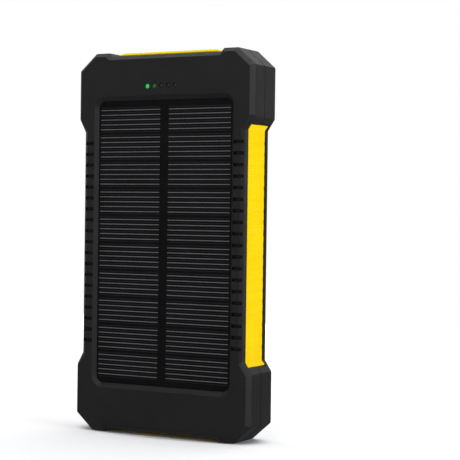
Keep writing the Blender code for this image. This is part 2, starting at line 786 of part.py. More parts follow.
def build_main_board(board, chip, ferrite, can):
    low = (-BOARD_HALF, BOARD_FRONT, BOARD_LOW)
    high = (BOARD_HALF, BOARD_FRONT + BOARD_THICK, BOARD_HIGH)
    plate = make_object("main_board", box(low, high), board)
    holes = bmesh.new()
    for side in (-1, 1):
        x = side * (BOARD_HALF - 2 * WALL)
        rod_y(x, BOARD_LOW + 2 * WALL, WALL / 2, BOARD_FRONT - PAST, BOARD_FRONT + 2 * PAST, 12, holes)
    cut(plate, holes)
    chips = (
        ("controller_chip", (-4.0, 4.0), (112.0, 118.0), 1.5),
        ("converter_chip", (-14.0, -9.0), (104.0, 109.0), 1.2),
    )
    for name, x_range, z_range, thick in chips:
        chip_low = (x_range[0], PARTS_REAR - thick, z_range[0])
        make_object(name, box(chip_low, (x_range[1], PARTS_REAR, z_range[1])), chip)
    points = rounded_rectangle(8.0, 18.0, 101.0, 111.0, 2.0, 3)
    coil = loft([ring_y(points, PARTS_REAR - 4.0), ring_y(points, PARTS_REAR)])
    make_object("inductor", coil, ferrite)
    for i, x in enumerate((16.0, 22.0)):
        bm = rod_y(x, 117.5, 2.5, PARTS_REAR - 5.0, PARTS_REAR, 16)
        shade_round(make_object(f"capacitor_{i + 1}", bm, can))


def build_battery(pouch, foam, board):
    middle = BATTERY_FRONT + CELL_BODY
    layers = (
        ("battery_cell_front", BATTERY_FRONT, middle, pouch),
        ("battery_pad", middle + GAP, middle + GAP + BATTERY_PAD, foam),
        ("battery_cell_rear", middle + 2 * GAP + BATTERY_PAD, middle + 2 * GAP + BATTERY_PAD + CELL_BODY, pouch),
    )
    for name, y_low, y_high, material in layers:
        bm = rounded_slab(BATTERY_HALF, BATTERY_LOW, BATTERY_HIGH, BATTERY_RADIUS, y_low, y_high)
        make_object(name, bm, material)
    low = (-BATTERY_HALF / 2, middle - WALL, BATTERY_HIGH + 2 * GAP)
    high = (BATTERY_HALF / 2, middle + WALL, BATTERY_HIGH + 2 * GAP + WALL / 2)
    make_object("protection_board", box(low, high), board)
    return high[2]


def build_wires(plate_rear, board_top, red, black):
    """Solar leads from panel to main board, and battery leads from cells to main board."""
    end_y = PARTS_REAR - WIRE_RADIUS / 2
    start_y = plate_rear + GAP
    step = 4 * WIRE_RADIUS
    for name, x, material in (("red", -22.0, red), ("black", -19.0, black)):
        low = 112.0
        points = [
            (x, start_y, low),
            (x, start_y + step, low),
            (x, (start_y + end_y) / 2, low + step),
            (x, end_y - step, low + 3 * step),
            (x, end_y, low + 3 * step),
        ]
        wire(f"solar_lead_{name}", points, WIRE_RADIUS, material)
    for name, x, material in (("red", 3.5, red), ("black", 1.5, black)):
        low = board_top + GAP
        points = [
            (x, 0.0, low),
            (x, 0.0, low + step),
            (x, step / 2, low + 2 * step),
            (x, end_y - step / 2, low + 3 * step),
            (x, end_y, low + 3 * step),
        ]
        wire(f"battery_lead_{name}", points, WIRE_RADIUS, material)


def torch_places():
    middle = (TORCH_LOW + TORCH_HIGH) / 2
    places = []
    for row in range(TORCH_ROWS):
        for column in range(TORCH_COLUMNS):
            x = (column - (TORCH_COLUMNS - 1) / 2) * TORCH_PITCH_X
            places.append((x, middle + (row - (TORCH_ROWS - 1) / 2) * TORCH_PITCH_Z))
    return places


def build_torch(clear, mirror, board, led_material):
    half = TORCH_HALF - GAP
    low = TORCH_LOW + GAP
    high = TORCH_HIGH - GAP
    lens = rounded_slab(half, low, high, TORCH_RADIUS, LENS_FRONT, LENS_REAR)
    make_object("torch_lens", lens, clear)
    plate = rounded_slab(half, low, high, TORCH_RADIUS, REFLECTOR_FRONT, REFLECTOR_REAR)
    reflector = make_object("torch_reflector", plate, mirror)
    cups = bmesh.new()
    led_front = TORCH_BOARD_FRONT + TORCH_BOARD_THICK + GAP
    for i, (x, z) in enumerate(torch_places()):
        narrow = circle(x, z, TORCH_CUP - PAST, 12)
        wide = circle(x, z, TORCH_CUP + PAST / 4, 12)
        rings = [ring_y(narrow, REFLECTOR_FRONT - PAST / 2), ring_y(wide, REFLECTOR_REAR + PAST / 2)]
        loft(rings, cups)
        led_low = (x - TORCH_LED / 2, led_front, z - TORCH_LED / 2)
        led_high = (x + TORCH_LED / 2, led_front + TORCH_LED_THICK, z + TORCH_LED / 2)
        make_object(f"torch_led_{i + 1}", box(led_low, led_high), led_material)
    cut(reflector, cups)
    base = box((-half, TORCH_BOARD_FRONT, low), (half, TORCH_BOARD_FRONT + TORCH_BOARD_THICK, high))
    make_object("torch_board", base, board)


# ---------------------------------------------------------------- fasteners

def build_screws(steel):
    """Pan-head screws with a cross recess, driven in from the back."""
    head_low = SCREW_TOP - SCREW_HEAD_HEIGHT
    rings = []
    for radius, y in (
        (SCREW_RADIUS, SCREW_END),
        (SCREW_RADIUS, head_low),
        (SCREW_HEAD_RADIUS, head_low),
        (SCREW_HEAD_RADIUS, SCREW_TOP - SCREW_HEAD_HEIGHT / 2),
        (SCREW_HEAD_RADIUS * 0.7, SCREW_TOP),
    ):
        rings.append(ring_y(circle(0.0, 0.0, radius, 12), y))
    pattern = make_object("pattern", loft(rings), steel)
    arm = SCREW_HEAD_RADIUS / 2
    slot = SCREW_HEAD_RADIUS / 8
    recess_low = SCREW_TOP - SCREW_HEAD_HEIGHT / 2
    for half_x, half_z in ((arm, slot), (slot, arm)):
        cut(pattern, box((-half_x, recess_low, -half_z), (half_x, REAR + PAST, half_z)))
    shade_round(pattern)
    mesh = pattern.data
    bpy.data.objects.remove(pattern, do_unlink=True)
    for i, (x, z) in enumerate(screw_places()):
        screw = bpy.data.objects.new(f"case_screw_{i + 1}", mesh)
        screw.location = (x, 0.0, z)
        bpy.context.scene.collection.objects.link(screw)


def to_metres():
    """Bring every mesh, curve and place from millimetres to metres."""
    scale = Matrix.Scale(MM, 4)
    for mesh in {item.data for item in bpy.data.objects if item.type == "MESH"}:
        mesh.transform(scale)
    for item in bpy.data.objects:
        item.location *= MM
        if item.type == "CURVE":
            item.data.bevel_depth *= MM
            for point in item.data.splines[0].points:
                point.co = (*(point.co.xyz * MM), 1.0)


def main():
    clear_scene()
    black = make_material("case_black", (0.018, 0.018, 0.019), 0.55)
    yellow = make_material("frame_yellow", (0.93, 0.68, 0.0), 0.45)
    yellow_rubber = make_material("cover_yellow", (0.93, 0.68, 0.0), 0.6)
    black_rubber = make_material("button_rubber", (0.02, 0.02, 0.02), 0.7)
    clear = make_material("clear_plastic", (0.8, 0.82, 0.85), 0.08)
    silicon = make_material("solar_silicon", (0.008, 0.009, 0.014), 0.3)
    board = make_material("circuit_board", (0.02, 0.16, 0.06), 0.5)
    foam = make_material("black_foam", (0.02, 0.02, 0.02), 0.9)
    steel = make_material("plated_steel", (0.62, 0.62, 0.64), 0.3, 1.0)
    insulator = make_material("contact_plastic", (0.03, 0.03, 0.03), 0.5)
    chip = make_material("chip_epoxy", (0.012, 0.012, 0.013), 0.6)
    ferrite = make_material("ferrite", (0.06, 0.06, 0.06), 0.7)
    can = make_material("capacitor_can", (0.55, 0.56, 0.58), 0.35, 1.0)
    pouch = make_material("battery_foil", (0.55, 0.56, 0.57), 0.35, 0.9)
    mirror = make_material("reflector", (0.8, 0.8, 0.82), 0.12, 1.0)
    led_white = make_material("torch_led", (0.9, 0.85, 0.35), 0.4)
    led_green = make_material("indicator_led", (0.02, 0.7, 0.15), 0.4)
    red = make_material("wire_red", (0.6, 0.02, 0.02), 0.5)
    wire_black = make_material("wire_black", (0.02, 0.02, 0.02), 0.5)

    build_front_shell(black)
    build_rear_shell(black)
    build_middle_frame(yellow)
    build_lanyard_pin(steel)
    plate_rear = build_solar_panel(clear, silicon, board, foam)
    build_ports(steel, insulator)
    build_port_cover(yellow_rubber)
    build_power_button(black_rubber, insulator, black_rubber)
    build_light_pipe(clear, led_green)
    build_main_board(board, chip, ferrite, can)
    board_top = build_battery(pouch, foam, board)
    build_wires(plate_rear, board_top, red, wire_black)
    build_torch(clear, mirror, board, led_white)
    build_screws(steel)
    to_metres()


main()
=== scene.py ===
"""Looks of the solar phone charger: two black shells, a yellow frame, a solar panel and a torch.

Shapes are worked out in millimetres and turned into metres when a piece is finished.
"""

import math

import bmesh
import bpy
from mathutils import Matrix, Vector


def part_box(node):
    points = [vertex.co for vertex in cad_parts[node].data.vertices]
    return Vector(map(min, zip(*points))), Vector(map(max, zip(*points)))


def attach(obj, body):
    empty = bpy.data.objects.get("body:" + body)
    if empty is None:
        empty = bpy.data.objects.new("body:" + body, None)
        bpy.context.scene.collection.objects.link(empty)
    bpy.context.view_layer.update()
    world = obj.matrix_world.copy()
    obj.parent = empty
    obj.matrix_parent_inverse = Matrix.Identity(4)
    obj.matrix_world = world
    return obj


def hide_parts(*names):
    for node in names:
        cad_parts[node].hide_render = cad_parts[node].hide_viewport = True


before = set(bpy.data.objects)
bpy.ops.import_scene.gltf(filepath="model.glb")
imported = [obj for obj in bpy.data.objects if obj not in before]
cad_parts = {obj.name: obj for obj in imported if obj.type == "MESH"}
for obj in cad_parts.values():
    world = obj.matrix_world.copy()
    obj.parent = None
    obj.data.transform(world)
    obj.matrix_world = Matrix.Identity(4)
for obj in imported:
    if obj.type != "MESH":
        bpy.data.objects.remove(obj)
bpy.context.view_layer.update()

MM = 0.001
WIDTH = 75.0
HEIGHT = 142.0
DEPTH = 18.0
FRONT = -DEPTH / 2
REAR = DEPTH / 2
WALL = 2.0
GAP = 0.3  # clearance between parts
PAST = 1.0  # how far a cutter reaches past the face it cuts
END_CUT = 2 * WALL  # depth of the openings at the top and bottom ends

# Outline of the shells
CORNER_X = 7.2
CORNER_Z = 6.35
BUMPER = 25.2
TRANSITION = 4.1
WAIST_INSET = 2.72
WAIST_HALF = WIDTH / 2 - WAIST_INSET
NOTCH_HALF = 23.2
NOTCH_SLOPE = 1.3
NOTCH_DEPTH = 1.3
OUTLINE_RADIUS = 0.8
OUTLINE_STEPS = 4
FILLET_LIMIT = 0.45  # largest share of an edge that a rounded corner takes
BAND_END = 27.2
BAND_CUT_DEPTH = 10.0
ARCH_STEPS = 12

# Rounded edges of the shells, as (inset from the outline, depth from the outer face)
FRONT_BUMPER_EDGE = (
    (1.75, 0.0), (1.58, 0.03), (1.40, 0.14), (0.24, 1.68), (0.08, 1.96), (0.0, 2.35),
)
FRONT_WAIST_EDGE = (
    (2.10, 0.0), (1.95, 0.03), (1.80, 0.12), (0.98, 0.70), (0.50, 1.05), (0.12, 1.75),
)
REAR_EDGE = (
    (0.9, 0.0), (0.66, 0.04), (0.44, 0.14), (0.24, 0.33), (0.1, 0.65), (0.03, 1.1), (0.0, 1.8),
    (0.0, 3.0),
)
# Groove at the seam, as (inset from the outline, distance from the seam)
SEAM_EDGE = ((0.0, 0.45), (0.06, 0.22), (0.22, 0.1), (0.5, 0.0))

FRONT_PLATE = 2.2
REAR_PLATE = 2.5

# Window and grips
WINDOW_HALF = 28.5
WINDOW_LOW = 18.4
WINDOW_HIGH = 124.0
WINDOW_RADIUS = 2.8
RIM_SIDE = 1.3
RIM_END = 1.6
RIM_DEPTH = 1.5
GRIP_COUNT = 19
GRIP_FIRST = 34.2
GRIP_PITCH = 4.11
GRIP_HEIGHT = 1.2
GRIP_DEPTH = 1.35
GRIP_INNER = 29.75
GRIP_OUTER = 33.75
GRIP_RADIUS = 0.15
GRIP_LIP = 0.06

# Middle frame
FRAME_FRONT = FRONT + FRONT_PLATE + GAP
FRAME_REAR = REAR - REAR_PLATE - GAP
FRAME_WALL = 1.6
BAND_HALF = 34.55
BAND_EDGE_HALF = 34.0
BAND_CHAMFER = 1.6
BAND_RIB = 0.6
RIB_STEPS = 12
RIB_SHARPNESS = 3  # a higher power makes the grooves between the ribs narrower

# Ends
BAY_HALF = 21.6
BAY_HALF_DEPTH = 6.0
USB_X = 14.1
USB_WIDTH = 13.2
USB_HEIGHT = 5.7
MICRO_WIDTH = 8.0
MICRO_HEIGHT = 3.0
SOCKET_WALL = 0.3
SOCKET_RADIUS = 0.5
# Tongues of the sockets: number and width of the contacts, height of the base
USB_TONGUE = (4, 1.1, 2.0)
MICRO_TONGUE = (5, 0.35, 1.0)
COVER_PLATE = 1.2
COVER_LIP = 0.3
COVER_WALL = 0.6
COVER_GROOVES = 5
COVER_GROOVE_PITCH = 1.6
EYE_LOW_X = -22.8
EYE_HIGH_X = -12.4
EYE_TOP = 9.0
EYE_HALF_DEPTH = 4.1
EYE_WALL = 1.2
EYE_FLOOR = 2.0
PIN_Z = 3.4
PIN_RADIUS = 1.0
PIN_TIP_RADIUS = 0.75
PIN_CHAMFER = 0.25
STRIP_LOW_X = -11.2
STRIP_HIGH_X = 21.3
STRIP_BOTTOM = 1.0
STRIP_HALF_DEPTH = 5.4
BUTTON_Z = 104.0
BUTTON_LENGTH = 9.0
BUTTON_WIDTH = 4.0
BUTTON_FLANGE = 0.8
BUTTON_FLANGE_DEPTH = 0.6
BUTTON_SLOT_DEPTH = 8.0
SYMBOL_INNER = 0.85
SYMBOL_OUTER = 1.05
SYMBOL_DEPTH = 0.2
SYMBOL_START = 120
SYMBOL_SWEEP = 300
SYMBOL_STEPS = 28

# Indicators
INDICATOR_COUNT = 5
INDICATOR_X = -6.65
INDICATOR_PITCH = 2.98
INDICATOR_Z = 129.0
INDICATOR_RADIUS = 0.9
INDICATOR_CHAMFER = 0.1
PIN_GLASS_RADIUS = 0.86
LIGHT_PIPE_REAR = -3.4

# Solar panel
PANEL_FRONT = FRONT + 1.7
CELL_ROWS = 10
CELL_PITCH = 10.18
CELL_HEIGHT = 9.5
CELL_GAP_HALF = 1.85
CELL_MARGIN = 0.35  # how far a cell reaches past its lines towards the middle
CELL_END = 28.1
CELL_DEPTH = 0.1
CELL_RISE = 0.03  # how far the cells stand in front of the sheet
LINE_COUNT = 5
LINE_PITCH = 1.80
LINE_WIDTH = 0.29
LINE_TOP = 120.5
LINE_END = 27.8
LINE_RISE = 0.05
FAINT_WIDTH = 0.14
FAINT_RISE = 0.045

# Torch
TORCH_HALF = 17.3
TORCH_LOW = 101.0
TORCH_HIGH = 117.0
TORCH_RADIUS = 3.0
TORCH_LIP = 0.4
TORCH_LED_COUNT = 6
LENS_RADIUS = 2.7
PHOSPHOR_RADIUS = 1.15
PHOSPHOR_TOP_RADIUS = 0.9

# Rear field and screws
FIELD_HALF = 25.0
FIELD_LOW = 30.0
FIELD_HIGH = 93.0
FIELD_DEPTH = 0.5
FIELD_RADIUS = 3.0
FIELD_LIP = 0.35
SCREW_COUNT = 4
SCREW_X = 30.5
SCREW_Z = 9.0
SCREW_ARM = 0.6  # half length and half width of the cross, as shares of the head's radius
SCREW_SLOT = 0.17
SCREW_CROSS_DEPTH = 0.6
COUNTERBORE_RADIUS = 2.2
COUNTERBORE_CHAMFER = 0.2
COUNTERBORE_DEPTH = 1.4

SMOOTH_ANGLE = math.radians(32)
BEVEL_ANGLE = math.radians(30)


# ---------------- outlines

def mirror_quarter(quarter, between=()):
    """Whole outline from its lower right quarter and the points between that and its mirror."""
    right = [*quarter, *between, *((x, HEIGHT - z) for x, z in reversed(quarter))]
    return right + [(-x, z) for x, z in reversed(right)]


def case_outline():
    """The case seen from the front, counterclockwise from the notch at the bottom."""
    return mirror_quarter((
        (NOTCH_HALF, NOTCH_DEPTH),
        (NOTCH_HALF + NOTCH_SLOPE, 0.0),
        (WIDTH / 2 - CORNER_X, 0.0),
        (WIDTH / 2, CORNER_Z),
        (WIDTH / 2, BUMPER),
        (WAIST_HALF, BUMPER + TRANSITION),
    ))


def is_waist(z):
    return BUMPER + TRANSITION / 2 < z < HEIGHT - BUMPER - TRANSITION / 2


def offset_polygon(points, distances):
    """Move each edge of a counterclockwise outline inwards by its own distance."""
    points = [Vector(point) for point in points]
    count = len(points)
    lines = []
    for i in range(count):
        along = (points[(i + 1) % count] - points[i]).normalized()
        normal = Vector((-along.y, along.x))
        lines.append((points[i] + normal * distances[i], along))
    moved = []
    for i in range(count):
        start_a, along_a = lines[i - 1]
        start_b, along_b = lines[i]
        cross = along_a.x * along_b.y - along_a.y * along_b.x
        delta = start_b - start_a
        share = (delta.x * along_b.y - delta.y * along_b.x) / cross
        moved.append(tuple(start_a + along_a * share))
    return moved


def inset_polygon(points, distance):
    return offset_polygon(points, [distance] * len(points))


def fillet(points, radius, steps):
    """Round each corner of an outline; every corner gives steps + 1 points."""
    points = [Vector(point) for point in points]
    count = len(points)
    rounded = []
    for i in range(count):
        before = points[i - 1] - points[i]
        after = points[(i + 1) % count] - points[i]
        reach_limit = FILLET_LIMIT * min(before.length, after.length)
        before.normalize()
        after.normalize()
        half = math.acos(max(-1.0, min(1.0, before.dot(after)))) / 2
        reach = min(radius / math.tan(half), reach_limit)
        start = points[i] + before * reach
        end = points[i] + after * reach
        for step in range(steps + 1):
            t = step / steps
            rounded.append(tuple((1 - t) ** 2 * start + 2 * t * (1 - t) * points[i] + t * t * end))
    return rounded


def shell_ring(waist_inset, bumper_inset, waist_y, bumper_y):
    """One ring of a shell's outer skin, with its own inset and depth at the waist."""
    base = case_outline()
    at_waist = [is_waist(z) for x, z in base]
    distances = []
    for here, after in zip(at_waist, at_waist[1:] + at_waist[:1]):
        if here and after:
            distances.append(waist_inset)
        elif here or after:
            distances.append((waist_inset + bumper_inset) / 2)
        else:
            distances.append(bumper_inset)
    rounded = fillet(offset_polygon(base, distances), OUTLINE_RADIUS, OUTLINE_STEPS)
    ring = []
    for i, (x, z) in enumerate(rounded):
        y = waist_y if at_waist[i // (OUTLINE_STEPS + 1)] else bumper_y
        ring.append(Vector((x, y, z)))
    return ring


def rounded_rectangle(low_a, high_a, low_b, high_b, radius, steps=8, inset=0.0):
    low_a, high_a = low_a + inset, high_a - inset
    low_b, high_b = low_b + inset, high_b - inset
    centres = (
        (high_a - radius, low_b + radius, -90),
        (high_a - radius, high_b - radius, 0),
        (low_a + radius, high_b - radius, 90),
        (low_a + radius, low_b + radius, 180),
    )
    points = []
    for a, b, start in centres:
        for i in range(steps + 1):
            turn = math.radians(start + 90 * i / steps)
            points.append((a + radius * math.cos(turn), b + radius * math.sin(turn)))
    return points


def circle(centre_a, centre_b, radius, segments=32):
    points = []
    for i in range(segments):
        turn = 2 * math.pi * i / segments
        points.append((centre_a + radius * math.cos(turn), centre_b + radius * math.sin(turn)))
    return points


def stadium(half_width, half_length, steps=12):
    """Round-ended outline about the middle of the power button, as (y, z)."""
    points = []
    for centre, start in ((half_length - half_width, 0), (half_width - half_length, 180)):
        for i in range(steps + 1):
            turn = math.radians(start + 180 * i / steps)
            z = BUTTON_Z + centre + half_width * math.sin(turn)
            points.append((half_width * math.cos(turn), z))
    return points


# ---------------- solids

def ring_y(points, y):
    return [Vector((x, y, z)) for x, z in points]


def ring_x(points, x):
    return [Vector((x, y, z)) for y, z in points]


def ring_z(points, z):
    return [Vector((x, y, z)) for x, y in points]


def loft(rings, bm=None):
    """Closed skin through rings that have the same number of points."""
    bm = bm or bmesh.new()
    loops = []
    for ring in rings:
        loops.append([bm.verts.new(point) for point in ring])
    count = len(loops[0])
    for low, high in zip(loops, loops[1:]):
        for i in range(count):
            j = (i + 1) % count
            bm.faces.new((low[i], low[j], high[j], high[i]))
    bm.faces.new(list(reversed(loops[0])))
    bm.faces.new(loops[-1])
    return bm


def box(low, high, bm=None):
    corners = ((low[0], low[2]), (high[0], low[2]), (high[0], high[2]), (low[0], high[2]))
    return loft([ring_y(corners, low[1]), ring_y(corners, high[1])], bm)


def upright(low_x, high_x, low_y, high_y, radius, profile):
    """Upright block with rounded corners; profile lists (inset, z) from bottom to top."""
    rings = []
    for inset, z in profile:
        points = rounded_rectangle(low_x, high_x, low_y, high_y, radius, inset=inset)
        rings.append(ring_z(points, z))
    return loft(rings)


def solid(name, bm):
    bmesh.ops.recalc_face_normals(bm, faces=bm.faces)
    mesh = bpy.data.meshes.new(name)
    bm.to_mesh(mesh)
    bm.free()
    item = bpy.data.objects.new(name, mesh)
    bpy.context.scene.collection.objects.link(item)
    return item


def boolean(target, bm, operation):
    tool = solid("tool", bm)
    modifier = target.modifiers.new("boolean", "BOOLEAN")
    modifier.operation = operation
    modifier.solver = "MANIFOLD"
    modifier.object = tool
    bpy.context.view_layer.update()
    graph = bpy.context.evaluated_depsgraph_get()
    result = bpy.data.meshes.new_from_object(target.evaluated_get(graph))
    target.modifiers.clear()
    target.data = result
    bpy.data.objects.remove(tool, do_unlink=True)


def cut(target, bm):
    boolean(target, bm, "DIFFERENCE")


def join(target, bm):
    boolean(target, bm, "UNION")


def round_edges(item, width):
    """Bevel that acts once place() has turned the piece into metres."""
    modifier = item.modifiers.new("round", "BEVEL")
    modifier.width = width * MM
    modifier.segments = 2
    modifier.limit_method = "ANGLE"
    modifier.angle_limit = BEVEL_ANGLE


def cover_with(item, material):
    item.data.materials.clear()
    item.data.materials.append(material)


def place(item, material, body="case", replaced=()):
    """Turn a piece into metres, dress it, and let it ride on its body."""
    item.data.transform(Matrix.Scale(MM, 4))
    cover_with(item, material)
    item.data.shade_smooth()
    item.data.set_sharp_from_angle(angle=SMOOTH_ANGLE)
    weighted = item.modifiers.new("weighted", "WEIGHTED_NORMAL")
    weighted.keep_sharp = True
    weighted.weight = 80
    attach(item, body)
    if replaced:
        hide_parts(*replaced)


# ---------------- materials

# Colour sockets of a Mix node
MIX_A = 6
MIX_B = 7
MIX_RESULT = 2


class Paint:
    """A material with a Principled shader and helpers for its procedural inputs."""

    def __init__(self, name, color, roughness, metallic=0.0, specular=0.5):
        self.material = bpy.data.materials.new(name)
        self.material.use_nodes = True
        self.tree = self.material.node_tree
        self.shader = self.tree.nodes["Principled BSDF"]
        self.shader.inputs["Base Color"].default_value = (*color, 1.0)
        self.shader.inputs["Roughness"].default_value = roughness
        self.shader.inputs["Metallic"].default_value = metallic
        self.shader.inputs["Specular IOR Level"].default_value = specular
        self.coordinates = self.tree.nodes.new("ShaderNodeTexCoord").outputs["Object"]

    def stretched(self, scale):
        mapping = self.tree.nodes.new("ShaderNodeMapping")
        mapping.inputs["Scale"].default_value = scale
        self.tree.links.new(self.coordinates, mapping.inputs["Vector"])
        return mapping.outputs["Vector"]

    def noise(self, size, detail=2.0, roughness=0.5, vector=None):
        """Noise whose features are about size millimetres across."""
        node = self.tree.nodes.new("ShaderNodeTexNoise")
        node.inputs["Scale"].default_value = 1 / (size * MM)
        node.inputs["Detail"].default_value = detail
        node.inputs["Roughness"].default_value = roughness
        self.tree.links.new(vector or self.coordinates, node.inputs["Vector"])
        return node.outputs["Fac"]

    def span(self, value, low, high, to_low, to_high):
        node = self.tree.nodes.new("ShaderNodeMapRange")
        node.inputs["From Min"].default_value = low
        node.inputs["From Max"].default_value = high
        node.inputs["To Min"].default_value = to_low
        node.inputs["To Max"].default_value = to_high
        self.tree.links.new(value, node.inputs["Value"])
        return node.outputs["Result"]

    def patches(self, size, detail, roughness=0.5):
        """Soft patches from 0 to 1."""
        return self.span(self.noise(size, detail, roughness), 0.35, 0.65, 0.0, 1.0)

    def color(self, socket):
        self.tree.links.new(socket, self.shader.inputs["Base Color"])

    def tones(self, pattern, dark, light):
        """Base colour that follows a pattern from one tone to the other."""
        node = self.tree.nodes.new("ShaderNodeMix")
        node.data_type = "RGBA"
        node.inputs[MIX_A].default_value = (*dark, 1.0)
        node.inputs[MIX_B].default_value = (*light, 1.0)
        self.tree.links.new(pattern, node.inputs["Factor"])
        self.color(node.outputs[MIX_RESULT])

    def roughness(self, pattern, low, high):
        """Roughness that follows a noise pattern from low to high."""
        socket = self.span(pattern, 0.3, 0.7, low, high)
        self.tree.links.new(socket, self.shader.inputs["Roughness"])

    def bump(self, *layers):
        """Bump of (height socket, depth in millimetres, strength) layers, one over another."""
        normal = None
        for height, depth, strength in layers:
            node = self.tree.nodes.new("ShaderNodeBump")
            node.inputs["Strength"].default_value = strength
            node.inputs["Distance"].default_value = depth * MM
            self.tree.links.new(height, node.inputs["Height"])
            if normal is not None:
                self.tree.links.new(normal, node.inputs["Normal"])
            normal = node.outputs["Normal"]
        self.tree.links.new(normal, self.shader.inputs["Normal"])

    def resin_coat(self):
        """Thin clear resin over the solar panel."""
        self.shader.inputs["Coat Weight"].default_value = 0.08
        self.shader.inputs["Coat Roughness"].default_value = 0.25

    def gradient(self, reach):
        """One at the middle, falling to zero at the reach, in metres, along each axis."""
        node = self.tree.nodes.new("ShaderNodeTexGradient")
        node.gradient_type = "SPHERICAL"
        scale = tuple(1 / value for value in reach)
        self.tree.links.new(self.stretched(scale), node.inputs["Vector"])
        return node.outputs["Fac"]

    def multiply(self, a, b):
        node = self.tree.nodes.new("ShaderNodeMath")
        node.operation = "MULTIPLY"
        self.tree.links.new(a, node.inputs[0])
        self.tree.links.new(b, node.inputs[1])
        return node.outputs["Value"]

    def glow(self, color, strength):
        self.shader.inputs["Emission Color"].default_value = (*color, 1.0)
        self.shader.inputs["Emission Strength"].default_value = strength

    def glow_pattern(self, socket):
        """Let a pattern set the strength of the glow in place of the single value."""
        self.tree.links.new(socket, self.shader.inputs["Emission Strength"])


def grey(value):
    return (value, value, value)


def dimmed(color, share):
    return tuple(value * share for value in color)


def moulded(name, dark, light, rough_low, rough_high, grain=0.3, grain_depth=0.02, specular=0.5):
    """Moulded plastic: spark-eroded grain, uneven gloss and a faint cloudiness of tone."""
    paint = Paint(name, light, (rough_low + rough_high) / 2, specular=specular)
    paint.tones(paint.patches(14.0, 3.0, 0.55), dark, light)
    paint.roughness(paint.noise(3.0, 4.0, 0.6), rough_low, rough_high)
    fine = paint.noise(grain, 2.0, 0.6)
    paint.bump((paint.noise(5.0, 2.0), 0.03, 0.15), (fine, grain_depth, 0.5))
    return paint.material


def metal(name, color, roughness, scratch=0.5):
    """Finely brushed metal; the brushing runs upright."""
    paint = Paint(name, color, roughness, metallic=1.0)
    brushed = paint.noise(0.12, 3.0, 0.6, paint.stretched((1.0, 1.0, 0.06)))
    paint.roughness(brushed, roughness * 0.8, roughness * 1.4)
    paint.tones(paint.patches(2.5, 3.0), dimmed(color, 0.82), color)
    paint.bump((brushed, 0.004, scratch))
    return paint.material


def under_resin(name, color, dark, light, specular, patches, rough_low):
    """Nearly black surface with faint patches of tone, under clear resin."""
    paint = Paint(name, color, 0.5, specular=specular)
    paint.tones(paint.patches(*patches), dark, light)
    paint.roughness(paint.noise(2.0, 4.0, 0.7), rough_low, 0.55)
    paint.bump((paint.noise(1.6, 3.0, 0.6), 0.01, 0.25))
    paint.resin_coat()
    return paint.material


def grid_silver(name, color):
    """Printed silver line, a little uneven along its length."""
    paint = Paint(name, color, 0.4, specular=0.4)
    uneven = paint.span(paint.noise(1.2, 3.0, 0.7), 0.3, 0.7, 0.0, 1.0)
    paint.tones(uneven, dimmed(color, 0.7), color)
    paint.roughness(paint.noise(0.8, 2.0), 0.35, 0.5)
    paint.resin_coat()
    return paint.material


def clear_plastic():
    roughness = 0.05
    paint = Paint("clear_plastic", (0.96, 0.97, 0.98), roughness)
    paint.shader.inputs["Transmission Weight"].default_value = 1.0
    paint.shader.inputs["IOR"].default_value = 1.49
    paint.roughness(paint.noise(1.5, 3.0), roughness, roughness * 2.2)
    return paint.material


def board_green():
    """Solder mask over copper tracks."""
    paint = Paint("board_green", (0.02, 0.14, 0.05), 0.35)
    tracks = paint.tree.nodes.new("ShaderNodeTexBrick")
    tracks.inputs["Scale"].default_value = 1 / (3.0 * MM)
    tracks.inputs["Mortar Size"].default_value = 0.05
    tracks.inputs["Color1"].default_value = (0.012, 0.10, 0.035, 1.0)
    tracks.inputs["Color2"].default_value = (0.016, 0.13, 0.045, 1.0)
    tracks.inputs["Mortar"].default_value = (0.05, 0.26, 0.10, 1.0)
    turn = paint.tree.nodes.new("ShaderNodeMapping")
    turn.inputs["Rotation"].default_value = (math.pi / 2, 0.0, 0.0)
    paint.tree.links.new(paint.coordinates, turn.inputs["Vector"])
    paint.tree.links.new(turn.outputs["Vector"], tracks.inputs["Vector"])
    paint.color(tracks.outputs["Color"])
    paint.bump((tracks.outputs["Fac"], 0.03, 0.3), (paint.noise(0.4), 0.01, 0.2))
    return paint.material


def foil():
    """Crinkled laminated foil."""
    paint = Paint("foil", (0.62, 0.63, 0.65), 0.38, metallic=0.9)
    crinkle = paint.noise(6.0, 5.0, 0.65)
    paint.roughness(crinkle, 0.28, 0.5)
    paint.bump((crinkle, 0.25, 0.4))
    return paint.material


def lit(name, color, strength):
    paint = Paint(name, dimmed(color, 0.6), 0.3)
    paint.glow(color, strength)
    return paint.material


BLACK = moulded("black_plastic", (0.0105, 0.0105, 0.0108), (0.0135, 0.0133, 0.0132), 0.46, 0.58,
                specular=0.35)
YELLOW = moulded("yellow_plastic", (0.90, 0.61, 0.0), (0.96, 0.66, 0.0), 0.42, 0.52,
                 0.35, 0.012, 0.05)
YELLOW_RUBBER = moulded("yellow_rubber", (0.92, 0.70, 0.0), (0.98, 0.77, 0.0), 0.58, 0.7,
                        0.25, 0.02, 0.1)
BLACK_RUBBER = moulded("black_rubber", grey(0.012), grey(0.018), 0.62, 0.75, 0.22, 0.03)
INSULATOR = moulded("insulator", (0.02, 0.02, 0.021), (0.03, 0.03, 0.031), 0.4, 0.5, 0.2, 0.01)
EPOXY = moulded("epoxy", (0.011, 0.011, 0.012), (0.015, 0.015, 0.016), 0.5, 0.62, 0.15, 0.01)
FERRITE = moulded("ferrite", grey(0.03), grey(0.055), 0.45, 0.6, 0.4, 0.05)
FOAM = moulded("foam", grey(0.012), grey(0.022), 0.8, 0.95, 0.5, 0.12)
RED_WIRE = moulded("red_wire", (0.42, 0.01, 0.01), (0.55, 0.015, 0.012), 0.35, 0.45, 0.3, 0.01)
